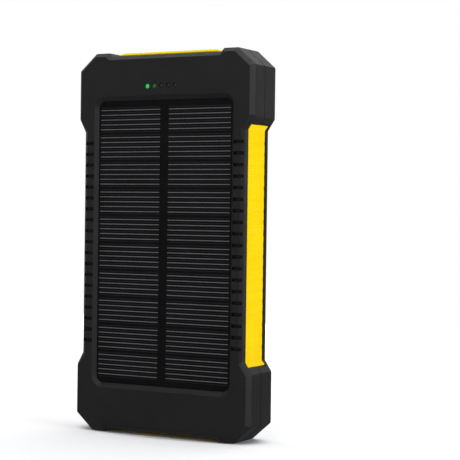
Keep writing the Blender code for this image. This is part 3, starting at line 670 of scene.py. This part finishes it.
BLACK_WIRE = moulded("black_wire", grey(0.014), grey(0.02), 0.35, 0.45, 0.3, 0.01)
WHITE_PACKAGE = moulded("white_package", (0.72, 0.72, 0.70), (0.8, 0.8, 0.78), 0.4, 0.5,
                        0.2, 0.005)
PHOSPHOR = moulded("phosphor", (0.78, 0.62, 0.12), (0.88, 0.72, 0.18), 0.3, 0.4, 0.2, 0.01)
DARK_PIN = moulded("dark_pin", (0.012, 0.013, 0.013), (0.02, 0.021, 0.021), 0.2, 0.3, 0.3, 0.005)
STEEL = metal("nickel_steel", (0.66, 0.65, 0.63), 0.26)
GOLD = metal("gold_contact", (0.86, 0.62, 0.25), 0.24, 0.3)
CAN = metal("can", (0.72, 0.73, 0.75), 0.34, 0.3)
REFLECTOR = metal("reflector_coat", (0.82, 0.82, 0.84), 0.09, 0.1)
SILICON = under_resin("silicon", (0.003, 0.003, 0.005), (0.0026, 0.0026, 0.0034),
                      (0.0046, 0.0042, 0.0062), 0.12, (9.0, 2.0), 0.4)
SHEET = under_resin("panel_sheet", grey(0.004), grey(0.003), (0.0048, 0.0048, 0.005),
                    0.1, (6.0, 3.0), 0.42)
SILVER_LINE = grid_silver("silver_line", (0.15, 0.15, 0.154))
FAINT_LINE = grid_silver("faint_line", (0.016, 0.016, 0.018))
CLEAR = clear_plastic()
BOARD = board_green()
FOIL = foil()
LIT_GREEN = lit("lit_green", (0.015, 0.56, 0.1), 0.62)
DIM_GREEN = lit("dim_green", (0.01, 0.16, 0.05), 0.25)


# ---------------- cutters

def interior_cutter(y_low, y_high):
    points = inset_polygon(case_outline(), WALL)
    return loft([ring_y(points, y_low), ring_y(points, y_high)])


def waist_cutter(y_low, y_high, lift):
    """Opening for the side band; lift(share) raises its ends along an arch from y_low to y_high."""
    bm = bmesh.new()
    low_edge = []
    for i in range(ARCH_STEPS + 1):
        share = i / ARCH_STEPS
        low_edge.append((y_low + (y_high - y_low) * share, BAND_END + lift(share)))
    section = low_edge + [(y, HEIGHT - z) for y, z in reversed(low_edge)]
    for side in (-1, 1):
        ends = sorted((side * (WAIST_HALF - BAND_CUT_DEPTH), side * (WIDTH / 2 + PAST)))
        loft([ring_x(section, ends[0]), ring_x(section, ends[1])], bm)
    return bm


def grip_cutter(face, outward):
    """Rounded notches, a little wider at the lip; outward is -1 at the front and 1 at the back."""
    bm = bmesh.new()
    sections = (
        (-GRIP_DEPTH, 0.0, GRIP_RADIUS),
        (-GRIP_DEPTH / 3, 0.0, GRIP_RADIUS),
        (-0.08, GRIP_LIP / 3, GRIP_RADIUS + GRIP_LIP / 3),
        (0.04, GRIP_LIP, GRIP_RADIUS + GRIP_LIP),
        (PAST, GRIP_LIP, GRIP_RADIUS + GRIP_LIP),
    )
    for side in (-1, 1):
        ends = sorted((side * GRIP_INNER, side * GRIP_OUTER))
        for i in range(GRIP_COUNT):
            middle = GRIP_FIRST + i * GRIP_PITCH
            low = middle - GRIP_HEIGHT / 2
            high = middle + GRIP_HEIGHT / 2
            rings = []
            for height, grow, radius in sections:
                points = rounded_rectangle(*ends, low, high, radius, 3, -grow)
                rings.append(ring_y(points, face + outward * height))
            loft(rings, bm)
    return bm


def window_ring(spread):
    return rounded_rectangle(
        -WINDOW_HALF - RIM_SIDE * spread,
        WINDOW_HALF + RIM_SIDE * spread,
        WINDOW_LOW - RIM_END * spread,
        WINDOW_HIGH + RIM_END * spread,
        WINDOW_RADIUS + RIM_END * spread,
    )


def window_cutter():
    """The window with its bevel; sections lists (share of the bevel's width, depth)."""
    sections = (
        (1.3, -0.3),
        (1.1, 0.0),
        (1.02, 0.03),
        (0.94, 0.11),
        (0.03, RIM_DEPTH - 0.05),
        (0.0, RIM_DEPTH + 0.05),
        (0.0, FRONT_PLATE + PAST),
    )
    return loft([ring_y(window_ring(spread), FRONT + depth) for spread, depth in sections])


def recess_cutter(half, low, high, radius, depth, lip):
    """Rounded recess in the back with a lip that opens outwards."""
    sections = (
        (0.0, REAR - depth),
        (0.0, REAR - lip),
        (lip / 3, REAR - lip / 3),
        (lip, REAR + 0.02),
        (lip, REAR + PAST),
    )
    rings = []
    for grow, y in sections:
        points = rounded_rectangle(-half, half, low, high, radius + grow, inset=-grow)
        rings.append(ring_y(points, y))
    return loft(rings)


def bay_cutter(y_low, y_high):
    """Opening for the ports at the top end."""
    return box((-BAY_HALF, y_low, HEIGHT - END_CUT), (BAY_HALF, y_high, HEIGHT + PAST))


def bottom_cutter(y_low, y_high):
    """Opening for the lanyard eye and the yellow strip at the bottom end."""
    return box(
        (EYE_LOW_X - EYE_WALL - GAP, y_low, -PAST),
        (STRIP_HIGH_X + GAP, y_high, END_CUT),
    )


def hole_cutter(places, radius, chamfer, face, outward, depth, segments=32):
    """Round holes with a small chamfer at the outer face."""
    bm = bmesh.new()
    for x, z in places:
        loft([
            ring_y(circle(x, z, radius, segments), face - outward * depth),
            ring_y(circle(x, z, radius, segments), face - outward * chamfer),
            ring_y(circle(x, z, radius + 2 * chamfer, segments), face + outward * chamfer),
        ], bm)
    return bm


def indicator_places():
    return [(INDICATOR_X + i * INDICATOR_PITCH, INDICATOR_Z) for i in range(INDICATOR_COUNT)]


def screw_places():
    places = []
    for side in (-1, 1):
        for z in (SCREW_Z, HEIGHT - SCREW_Z):
            places.append((side * SCREW_X, z))
    return places


# ---------------- shells

def front_arch(share):
    """Rise of the front shell's band end: highest part way back, lowest at the seam."""
    return 0.25 + 0.35 * math.sin(math.pi * share) - 0.25 * share


def rear_arch(share):
    """Rise of the rear shell's band end: highest at the seam."""
    return 0.32 - 0.3 * share


def build_front_shell():
    rings = []
    for waist, bumper in zip(FRONT_WAIST_EDGE, FRONT_BUMPER_EDGE):
        rings.append(shell_ring(waist[0], bumper[0], FRONT + waist[1], FRONT + bumper[1]))
    for inset, height in SEAM_EDGE:
        rings.append(shell_ring(inset, inset, -height, -height))
    shell = solid("front_shell_body", loft(rings))
    inner_face = FRONT + FRONT_PLATE
    cut(shell, interior_cutter(inner_face, PAST))
    cut(shell, waist_cutter(inner_face, PAST, front_arch))
    cut(shell, window_cutter())
    cut(shell, grip_cutter(FRONT, -1))
    cut(shell, hole_cutter(indicator_places(), INDICATOR_RADIUS, INDICATOR_CHAMFER,
                           FRONT, -1, FRONT_PLATE + PAST))
    cut(shell, bay_cutter(-BAY_HALF_DEPTH, PAST))
    cut(shell, bottom_cutter(-STRIP_HALF_DEPTH - GAP, PAST))
    place(shell, BLACK, replaced=("front_shell",))


def build_rear_shell():
    rings = [shell_ring(inset, inset, height, height) for inset, height in reversed(SEAM_EDGE)]
    for inset, depth in reversed(REAR_EDGE):
        rings.append(shell_ring(inset, inset, REAR - depth, REAR - depth))
    shell = solid("rear_shell_body", loft(rings))
    inner_face = REAR - REAR_PLATE
    cut(shell, interior_cutter(-PAST, inner_face))
    cut(shell, waist_cutter(-PAST, inner_face, rear_arch))
    cut(shell, grip_cutter(REAR, 1))
    cut(shell, bay_cutter(-PAST, BAY_HALF_DEPTH))
    cut(shell, bottom_cutter(-PAST, STRIP_HALF_DEPTH + GAP))
    cut(shell, recess_cutter(FIELD_HALF, FIELD_LOW, FIELD_HIGH, FIELD_RADIUS,
                             FIELD_DEPTH, FIELD_LIP))
    cut(shell, recess_cutter(TORCH_HALF, TORCH_LOW, TORCH_HIGH, TORCH_RADIUS,
                             REAR_PLATE + PAST, TORCH_LIP))
    cut(shell, hole_cutter(screw_places(), COUNTERBORE_RADIUS, COUNTERBORE_CHAMFER,
                           REAR, 1, COUNTERBORE_DEPTH, 40))
    place(shell, BLACK, replaced=("rear_shell",))


# ---------------- frame

def frame_outline(band_half, rib):
    """Outer edge of the middle frame, with smooth ribs down each band."""
    inside = inset_polygon(case_outline(), WALL + GAP)
    bumper_x, bumper_z = inside[4]
    band_low = BAND_END + GAP
    waist_low = BUMPER + TRANSITION
    slope = WAIST_INSET / TRANSITION
    shoulder_x = band_half + slope * (waist_low - band_low)
    quarter = [
        *inside[:5],
        (bumper_x - slope * (band_low - bumper_z), band_low),
        (shoulder_x - 0.3, band_low),
        (shoulder_x - 0.06, band_low + 0.1),
        (shoulder_x - 0.04, band_low + 0.35),
        (band_half + 0.08, waist_low - 0.15),
        (band_half, waist_low + 0.25),
    ]
    ribs = []
    step = GRIP_PITCH / RIB_STEPS
    lead = RIB_STEPS // 2
    for i in range(-lead, (GRIP_COUNT - 1) * RIB_STEPS + lead + 1):
        z = GRIP_FIRST + i * step
        dip = 0.5 + 0.5 * math.cos(2 * math.pi * (z - GRIP_FIRST) / GRIP_PITCH)
        ribs.append((band_half - rib * dip ** RIB_SHARPNESS, z))
    return mirror_quarter(quarter, ribs)


def socket_cutter():
    """Openings for the three sockets in the top wall."""
    bm = bmesh.new()
    wall_low = HEIGHT - 2 * END_CUT
    y_high = USB_HEIGHT / 2 + GAP
    half = USB_WIDTH / 2 + GAP
    for x in (-USB_X, USB_X):
        box((x - half, -USB_HEIGHT / 2 - GAP, wall_low), (x + half, y_high, HEIGHT), bm)
    half = MICRO_WIDTH / 2 + GAP
    micro_low = USB_HEIGHT / 2 - MICRO_HEIGHT - GAP
    box((-half, micro_low, wall_low), (half, y_high, HEIGHT), bm)
    return bm


def bottom_strip():
    """Part of the frame that shows as the yellow strip at the bottom end."""
    profile = (
        (0.3, STRIP_BOTTOM),
        (0.08, STRIP_BOTTOM + 0.08),
        (0.0, STRIP_BOTTOM + 0.3),
        (0.0, NOTCH_DEPTH + WALL + GAP + FRAME_WALL / 2),
    )
    return upright(STRIP_LOW_X, STRIP_HIGH_X, -STRIP_HALF_DEPTH, STRIP_HALF_DEPTH, 0.6, profile)


def eye_cutter():
    profile = (
        (-0.35, EYE_FLOOR - 0.02),
        (-0.1, EYE_FLOOR + 0.12),
        (0.0, EYE_FLOOR + 0.4),
        (0.0, EYE_TOP),
    )
    return upright(EYE_LOW_X, EYE_HIGH_X, -EYE_HALF_DEPTH, EYE_HALF_DEPTH, 0.8, profile)


def build_middle_frame():
    sections = (
        (BAND_EDGE_HALF - 0.25, 0.0, FRAME_FRONT),
        (BAND_EDGE_HALF + 0.02, 0.0, FRAME_FRONT + 0.12),
        (BAND_EDGE_HALF + 0.16, 0.05 * BAND_RIB, FRAME_FRONT + 0.45),
        (BAND_HALF - 0.12, 0.3 * BAND_RIB, FRAME_FRONT + BAND_CHAMFER - 0.3),
        (BAND_HALF, 0.6 * BAND_RIB, FRAME_FRONT + BAND_CHAMFER + 0.4),
        (BAND_HALF, 0.6 * BAND_RIB, FRAME_REAR - 1.2),
        (BAND_HALF + 0.02, 0.25 * BAND_RIB, FRAME_REAR - 0.3),
        (BAND_HALF - 0.06, 0.15 * BAND_RIB, FRAME_REAR),
    )
    rings = [ring_y(frame_outline(half, rib), y) for half, rib, y in sections]
    body = solid("middle_frame_body", loft(rings))
    inner = inset_polygon(case_outline(), WALL + GAP + FRAME_WALL)
    cut(body, loft([ring_y(inner, FRAME_FRONT - PAST), ring_y(inner, FRAME_REAR + PAST)]))
    cut(body, socket_cutter())
    join(body, bottom_strip())
    pocket_low = (EYE_LOW_X - EYE_WALL, -EYE_HALF_DEPTH - EYE_WALL, EYE_FLOOR)
    pocket_high = (EYE_HIGH_X + EYE_WALL - GAP, EYE_HALF_DEPTH + EYE_WALL, EYE_TOP + EYE_WALL)
    join(body, box(pocket_low, pocket_high))
    cut(body, eye_cutter())
    mouth_low = (EYE_LOW_X, -EYE_HALF_DEPTH, -PAST)
    cut(body, box(mouth_low, (EYE_HIGH_X, EYE_HALF_DEPTH, EYE_FLOOR + PAST)))
    bore = circle((EYE_LOW_X + EYE_HIGH_X) / 2, PIN_Z, PIN_RADIUS + GAP)
    cut(body, loft([ring_y(bore, -2 * EYE_HALF_DEPTH), ring_y(bore, 2 * EYE_HALF_DEPTH)]))
    slot = stadium(BUTTON_WIDTH / 2 + GAP, BUTTON_LENGTH / 2 + GAP)
    cut(body, loft([ring_x(slot, -WIDTH / 2), ring_x(slot, -WIDTH / 2 + BUTTON_SLOT_DEPTH)]))
    place(body, YELLOW, replaced=("middle_frame",))


def build_pin():
    low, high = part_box("lanyard_pin")
    x = (low.x + high.x) / 2 / MM
    z = (low.z + high.z) / 2 / MM
    y_low = low.y / MM
    y_high = high.y / MM
    sections = (
        (PIN_TIP_RADIUS, y_low),
        (PIN_RADIUS, y_low + PIN_CHAMFER),
        (PIN_RADIUS, y_high - PIN_CHAMFER),
        (PIN_TIP_RADIUS, y_high),
    )
    rod = solid("lanyard_pin_rod", loft([ring_y(circle(x, z, r, 40), y) for r, y in sections]))
    place(rod, STEEL, replaced=("lanyard_pin",))


# ---------------- solar panel

def flat_strips(name, rows, rise, depth, material):
    """Thin strips on the front of the panel; rows lists (x low, x high, z low, z high)."""
    bm = bmesh.new()
    for x_low, x_high, z_low, z_high in rows:
        box((x_low, PANEL_FRONT - rise, z_low), (x_high, PANEL_FRONT + depth, z_high), bm)
    place(solid(name, bm), material, replaced=("solar_cells",))


def build_panel():
    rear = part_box("solar_cover")[1].y / MM
    points = window_ring(0.0)
    sheet = loft([ring_y(points, PANEL_FRONT), ring_y(points, rear)])
    place(solid("panel_sheet", sheet), SHEET, replaced=("solar_cover",))
    cells = []
    bright = []
    faint = []
    for row in range(CELL_ROWS):
        top = LINE_TOP - row * CELL_PITCH
        middle = top - (LINE_COUNT - 1) * LINE_PITCH / 2
        for side in (-1, 1):
            cell = sorted((side * (CELL_GAP_HALF - CELL_MARGIN), side * CELL_END))
            line = sorted((side * CELL_GAP_HALF, side * LINE_END))
            cells.append((*cell, middle - CELL_HEIGHT / 2, middle + CELL_HEIGHT / 2))
            for i in range(LINE_COUNT):
                z = top - i * LINE_PITCH
                bright.append((*line, z - LINE_WIDTH / 2, z + LINE_WIDTH / 2))
            for i in range(LINE_COUNT + 1):
                z = top - (i - 0.5) * LINE_PITCH
                faint.append((*line, z - FAINT_WIDTH / 2, z + FAINT_WIDTH / 2))
    flat_strips("panel_cells", cells, CELL_RISE, CELL_DEPTH, SILICON)
    flat_strips("panel_lines", bright, LINE_RISE, 0.0, SILVER_LINE)
    flat_strips("panel_faint_lines", faint, FAINT_RISE, 0.0, FAINT_LINE)


# ---------------- indicators

def build_light_pipe():
    bar_low, bar_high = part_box("light_pipe")
    bar = box(
        (bar_low.x / MM, FRONT + FRONT_PLATE + GAP, bar_low.z / MM),
        (bar_high.x / MM, LIGHT_PIPE_REAR, bar_high.z / MM),
    )
    place(solid("light_pipe_bar", bar), CLEAR, replaced=("light_pipe",))
    materials = (LIT_GREEN, DIM_GREEN) + (DARK_PIN,) * (INDICATOR_COUNT - 2)
    profile = ((0.35, 0.12), (0.75, 0.18), (1.0, 0.4), (1.0, FRONT_PLATE + GAP))
    for i, (x, z) in enumerate(indicator_places()):
        rings = []
        for share, depth in profile:
            rings.append(ring_y(circle(x, z, PIN_GLASS_RADIUS * share, 24), FRONT + depth))
        pin = solid(f"light_pin_{i + 1}", loft(rings))
        place(pin, materials[i], replaced=("light_pipe",))


# ---------------- ports

def build_port_shell(node):
    """Steel shell of a socket, open at the top."""
    low, high = (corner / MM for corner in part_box(node))
    outer = rounded_rectangle(low.x, high.x, low.y, high.y, SOCKET_RADIUS)
    inner_radius = SOCKET_RADIUS - SOCKET_WALL / 2
    inner = rounded_rectangle(low.x, high.x, low.y, high.y, inner_radius, inset=SOCKET_WALL)
    rings = [
        ring_z(outer, low.z),
        ring_z(outer, high.z - 0.1),
        ring_z(inset_polygon(outer, 0.08), high.z),
    ]
    shell = solid(f"{node}_shell", loft(rings))
    cut(shell, loft([ring_z(inner, low.z + SOCKET_WALL), ring_z(inner, high.z + PAST)]))
    place(shell, STEEL, replaced=(node,))


def build_tongue(node, contact_count, contact_width, base_height):
    """Plastic tongue of a socket, as thick as the CAD tongue's tip, with its contacts."""
    low, high = (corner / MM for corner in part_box(node))
    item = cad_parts[node]
    tip = [vert.co.y / MM for vert in item.data.vertices if vert.co.z / MM > high.z - 0.01]
    tongue_low, tongue_high = min(tip), max(tip)
    base_top = low.z + base_height
    body = solid(f"{node}_plastic", box((low.x, low.y, low.z), (high.x, high.y, base_top)))
    join(body, box((low.x, tongue_low, low.z + 0.2), (high.x, tongue_high, high.z)))
    round_edges(body, 0.12)
    place(body, INSULATOR, replaced=(node,))
    contacts = bmesh.new()
    pitch = (high.x - low.x) / (contact_count + 0.6)
    for i in range(contact_count):
        x = (low.x + high.x) / 2 + (i - (contact_count - 1) / 2) * pitch
        box((x - contact_width / 2, tongue_low - 0.05, base_top + 0.2),
            (x + contact_width / 2, tongue_low + 0.1, high.z - 0.5), contacts)
    place(solid(f"{node}_contacts", contacts), GOLD, replaced=(node,))


def build_port_cover():
    low, high = (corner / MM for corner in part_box("port_cover"))
    plate_low = HEIGHT - COVER_PLATE
    profile = (
        (0.1, plate_low),
        (0.0, plate_low + 0.1),
        (0.0, HEIGHT - 0.85),
        (0.12, HEIGHT - 0.7),
        (1.35, HEIGHT - 0.06),
        (1.6, HEIGHT),
    )
    cover = solid("port_cover_rubber", upright(low.x, high.x, low.y, high.y, 0.7, profile))
    points = rounded_rectangle(low.x, high.x, low.y, high.y, 0.6, inset=COVER_LIP)
    inner = inset_polygon(points, COVER_WALL)
    join(cover, loft([ring_z(points, low.z), ring_z(points, plate_low + 0.5)]))
    cut(cover, loft([ring_z(inner, low.z - PAST), ring_z(inner, plate_low)]))
    grooves = bmesh.new()
    for i in range(COVER_GROOVES):
        x = (i - COVER_GROOVES // 2) * COVER_GROOVE_PITCH
        groove = rounded_rectangle(x - 0.3, x + 0.3, low.y + 2.0, low.y + 4.4, 0.25)
        loft([ring_z(groove, HEIGHT - 0.25), ring_z(groove, HEIGHT + PAST)], grooves)
    cut(cover, grooves)
    place(cover, YELLOW_RUBBER, "cover", ("port_cover",))


def build_hinge_strip():
    low, high = (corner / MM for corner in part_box("cover_hinge_strip"))
    strip = solid("hinge_strip_rubber", box(low, high))
    round_edges(strip, 0.15)
    place(strip, YELLOW_RUBBER, replaced=("cover_hinge_strip",))


# ---------------- button

def symbol_cutter(face):
    """Power symbol sunk into the button: an open ring and a stroke."""
    bm = bmesh.new()
    outer = []
    inner = []
    for i in range(SYMBOL_STEPS + 1):
        turn = math.radians(SYMBOL_START + SYMBOL_SWEEP * i / SYMBOL_STEPS)
        y = math.cos(turn)
        z = math.sin(turn)
        outer.append((SYMBOL_OUTER * y, BUTTON_Z + SYMBOL_OUTER * z))
        inner.append((SYMBOL_INNER * y, BUTTON_Z + SYMBOL_INNER * z))
    points = outer + list(reversed(inner))
    loft([ring_x(points, face - PAST), ring_x(points, face + SYMBOL_DEPTH)], bm)
    box((face - PAST, -0.1, BUTTON_Z + 0.2), (face + SYMBOL_DEPTH, 0.1, BUTTON_Z + 1.15), bm)
    return bm


def build_button():
    low, high = (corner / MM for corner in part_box("power_button"))
    face = low.x
    half_width = BUTTON_WIDTH / 2
    half_length = BUTTON_LENGTH / 2
    rings = []
    for shrink, depth in ((0.9, 0.04), (0.5, 0.0), (0.22, 0.06), (0.06, 0.22), (0.0, 0.5)):
        rings.append(ring_x(stadium(half_width - shrink, half_length - shrink), face + depth))
    flange_x = high.x - BUTTON_FLANGE_DEPTH
    flange = stadium(half_width + BUTTON_FLANGE, half_length + BUTTON_FLANGE)
    rings.append(ring_x(stadium(half_width, half_length), flange_x))
    rings.append(ring_x(flange, flange_x))
    rings.append(ring_x(flange, high.x))
    button = solid("power_button_rubber", loft(rings))
    cut(button, symbol_cutter(face))
    place(button, BLACK_RUBBER, "button", ("power_button",))


# ---------------- torch

def torch_led_boxes():
    """Middle and corners of each LED, in millimetres."""
    boxes = []
    for i in range(TORCH_LED_COUNT):
        low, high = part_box(f"torch_led_{i + 1}")
        boxes.append(((low + high) / 2 / MM, low / MM, high / MM))
    return boxes


def build_torch_lens():
    low, high = (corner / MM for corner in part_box("torch_lens"))
    rings = []
    for shrink, y in ((0.0, low.y), (0.0, high.y - 0.25), (0.07, high.y - 0.08), (0.25, high.y)):
        points = rounded_rectangle(low.x, high.x, low.z, high.z, LENS_RADIUS, inset=shrink)
        rings.append(ring_y(points, y))
    lens = solid("torch_lens_clear", loft(rings))
    place(lens, CLEAR, replaced=("torch_lens",))


def build_torch_reflector():
    low, high = (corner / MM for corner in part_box("torch_reflector"))
    points = rounded_rectangle(low.x, high.x, low.z, high.z, LENS_RADIUS)
    plate = loft([ring_y(points, low.y), ring_y(points, high.y)])
    reflector = solid("torch_reflector_cups", plate)
    cups = bmesh.new()
    cup = ((2.15, low.y - 0.5), (2.3, low.y + 0.1), (2.65, low.y + 0.6), (3.1, high.y + 0.05))
    for centre, _, _ in torch_led_boxes():
        loft([ring_y(circle(centre.x, centre.z, radius, 48), y) for radius, y in cup], cups)
    cut(reflector, cups)
    place(reflector, REFLECTOR, replaced=("torch_reflector",))


def build_torch_leds():
    for i, (centre, low, high) in enumerate(torch_led_boxes()):
        node = f"torch_led_{i + 1}"
        package = solid(f"{node}_package", box(low, (high.x, high.y - 0.05, high.z)))
        round_edges(package, 0.1)
        place(package, WHITE_PACKAGE, replaced=(node,))
        dome = circle(centre.x, centre.z, PHOSPHOR_RADIUS)
        top = circle(centre.x, centre.z, PHOSPHOR_TOP_RADIUS)
        rings = [ring_y(dome, high.y - 0.2), ring_y(dome, high.y - 0.04), ring_y(top, high.y)]
        phosphor = solid(f"{node}_phosphor", loft(rings))
        place(phosphor, PHOSPHOR, replaced=(node,))


def build_screws():
    for i in range(SCREW_COUNT):
        node = f"case_screw_{i + 1}"
        low, high = (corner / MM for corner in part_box(node))
        x = (low.x + high.x) / 2
        z = (low.z + high.z) / 2
        top = high.y
        radius = (high.x - low.x) / 2
        profile = (
            (0.47, low.y),
            (0.47, top - 1.0),
            (1.0, top - 1.0),
            (1.0, top - 0.55),
            (0.93, top - 0.3),
            (0.75, top - 0.1),
            (0.45, top),
        )
        rings = [ring_y(circle(x, z, radius * share, 40), y) for share, y in profile]
        screw = solid(f"{node}_steel", loft(rings))
        arm = radius * SCREW_ARM
        slot = radius * SCREW_SLOT
        bottom = top - SCREW_CROSS_DEPTH
        cut(screw, box((x - arm, bottom, z - slot), (x + arm, top + PAST, z + slot)))
        cut(screw, box((x - slot, bottom, z - arm), (x + slot, top + PAST, z + arm)))
        place(screw, STEEL, replaced=(node,))


# ---------------- CAD nodes kept as they are

INNER_NODES = {
    "panel_adhesive": (FOAM, "black_foam"),
    "solar_backplate": (BOARD, "circuit_board"),
    "main_board": (BOARD, "circuit_board"),
    "torch_board": (BOARD, "circuit_board"),
    "protection_board": (BOARD, "circuit_board"),
    "controller_chip": (EPOXY, "chip_epoxy"),
    "converter_chip": (EPOXY, "chip_epoxy"),
    "inductor": (FERRITE, "ferrite"),
    "capacitor_1": (CAN, "capacitor_can"),
    "capacitor_2": (CAN, "capacitor_can"),
    "battery_cell_front": (FOIL, "battery_foil"),
    "battery_cell_rear": (FOIL, "battery_foil"),
    "battery_pad": (FOAM, "black_foam"),
    "solar_lead_red": (RED_WIRE, "wire_red"),
    "solar_lead_black": (BLACK_WIRE, "wire_black"),
    "battery_lead_red": (RED_WIRE, "wire_red"),
    "battery_lead_black": (BLACK_WIRE, "wire_black"),
    "switch_body": (INSULATOR, "contact_plastic"),
    "switch_plunger": (BLACK_RUBBER, "button_rubber"),
}


def dress_inner_nodes():
    for node, (material, slot) in INNER_NODES.items():
        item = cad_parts[node]
        cover_with(item, material)
    for i in range(INDICATOR_COUNT):
        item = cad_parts[f"indicator_led_{i + 1}"]
        cover_with(item, LIT_GREEN if i == 0 else PHOSPHOR)


# ---------------- stage

CAMERA_AZIMUTH = math.radians(28.615)
CAMERA_ELEVATION = math.radians(0.714)
CAMERA_ROLL = math.radians(0.761)
CAMERA_TARGET = Vector((28.93, -9.07, 76.65)) * MM
CAMERA_DISTANCE = 515.64 * MM
CAMERA_LENS = 113.15
SENSOR = 36.0
AMBIENT = (0.15, 0.15, 0.153, 1.0)
BACKDROP = (1.0, 1.0, 1.0, 1.0)

# Floor in metres, the strength of its glow near the charger, and the patch of painted shadow under
# it, where the floor does not glow
FLOOR_HALF = 0.5
FLOOR_GLOW = 0.29
PAINTED_SHADOW_HALF_X = 0.042
PAINTED_SHADOW_HALF_Y = 0.013

# Area lights, aimed at the middle of the charger: position and size in metres, power in watts
LIGHT_TARGET = Vector((0.0, 0.0, 0.07))
LIGHTS = {
    "top": ((0.15, 0.1, 1.3), (1.8, 1.8), 17.0),
    "right": ((0.93, -0.13, 0.3), (0.7, 0.9), 4.5),
    "front": ((-0.25, -1.1, 0.6), (0.8, 0.8), 1.35),
    "left": ((-0.9, 0.1, 0.5), (0.6, 0.8), 2.0),
    "back": ((0.0, 1.1, 0.6), (0.9, 0.9), 2.0),
}


def build_camera():
    a = CAMERA_AZIMUTH
    b = CAMERA_ELEVATION
    back = Vector((math.sin(a) * math.cos(b), -math.cos(a) * math.cos(b), math.sin(b)))
    level = Vector((math.cos(a), math.sin(a), 0.0))
    above = back.cross(level)
    right = math.cos(CAMERA_ROLL) * level + math.sin(CAMERA_ROLL) * above
    up = math.cos(CAMERA_ROLL) * above - math.sin(CAMERA_ROLL) * level
    data = bpy.data.cameras.new("camera")
    data.lens = CAMERA_LENS
    data.sensor_width = SENSOR
    data.clip_start = 0.01
    data.clip_end = 50.0
    camera = bpy.data.objects.new("camera", data)
    bpy.context.scene.collection.objects.link(camera)
    turn = Matrix((right, up, back)).transposed().to_4x4()
    camera.matrix_world = Matrix.Translation(CAMERA_TARGET + back * CAMERA_DISTANCE) @ turn
    bpy.context.scene.camera = camera


def build_world():
    """White behind the charger for the camera, dim grey for everything else."""
    world = bpy.data.worlds.new("studio")
    bpy.context.scene.world = world
    world.use_nodes = True
    tree = world.node_tree
    background = tree.nodes["Background"]
    background.inputs["Strength"].default_value = 1.0
    rays = tree.nodes.new("ShaderNodeLightPath")
    mix = tree.nodes.new("ShaderNodeMix")
    mix.data_type = "RGBA"
    mix.inputs[MIX_A].default_value = AMBIENT
    mix.inputs[MIX_B].default_value = BACKDROP
    tree.links.new(rays.outputs["Is Camera Ray"], mix.inputs["Factor"])
    tree.links.new(mix.outputs[MIX_RESULT], background.inputs["Color"])


def build_floor():
    """White floor whose glow weakens towards the charger and ends under it, which paints a shadow
    under the charger.
    """
    bm = bmesh.new()
    half = FLOOR_HALF
    corners = ((-half, -half), (half, -half), (half, half), (-half, half))
    bm.faces.new([bm.verts.new((x, y, 0.0)) for x, y in corners])
    floor = solid("floor", bm)
    paint = Paint("floor_white", (0.93, 0.935, 0.94), 0.75, specular=0.2)
    paint.tones(paint.patches(400.0, 2.0), (0.78, 0.785, 0.80), (0.80, 0.805, 0.82))
    paint.glow((1.0, 1.0, 1.0), FLOOR_GLOW)
    # Painted shadow: the glow fades to nothing over this patch under the charger, so the floor
    # there stays dark
    under = paint.gradient((PAINTED_SHADOW_HALF_X, PAINTED_SHADOW_HALF_Y, 1.0))
    around = paint.gradient((half, half, half))
    rise = paint.span(around, 0.0, 0.8, 1.0, FLOOR_GLOW)
    painted_shadow = paint.span(under, 0.0, 0.15, 1.0, 0.0)
    paint.glow_pattern(paint.multiply(rise, painted_shadow))
    floor.data.materials.append(paint.material)
    floor.visible_glossy = False


def build_lights():
    for name, (position, size, power) in LIGHTS.items():
        data = bpy.data.lights.new(name, "AREA")
        data.shape = "RECTANGLE"
        data.size, data.size_y = size
        data.energy = power
        light = bpy.data.objects.new(name, data)
        bpy.context.scene.collection.objects.link(light)
        light.location = position
        aim = LIGHT_TARGET - Vector(position)
        light.rotation_euler = aim.to_track_quat("-Z", "Y").to_euler()


build_front_shell()
build_rear_shell()
build_middle_frame()
build_pin()
build_panel()
build_light_pipe()
for port in ("usb_a_port_left", "usb_a_port_right", "micro_usb_port"):
    build_port_shell(port)
build_tongue("usb_a_tongue_left", *USB_TONGUE)
build_tongue("usb_a_tongue_right", *USB_TONGUE)
build_tongue("micro_usb_tongue", *MICRO_TONGUE)
build_port_cover()
build_hinge_strip()
build_button()
build_torch_lens()
build_torch_reflector()
build_torch_leds()
build_screws()
dress_inner_nodes()
build_camera()
build_world()
build_floor()
build_lights()
bpy.context.scene.view_settings.view_transform = "Standard"
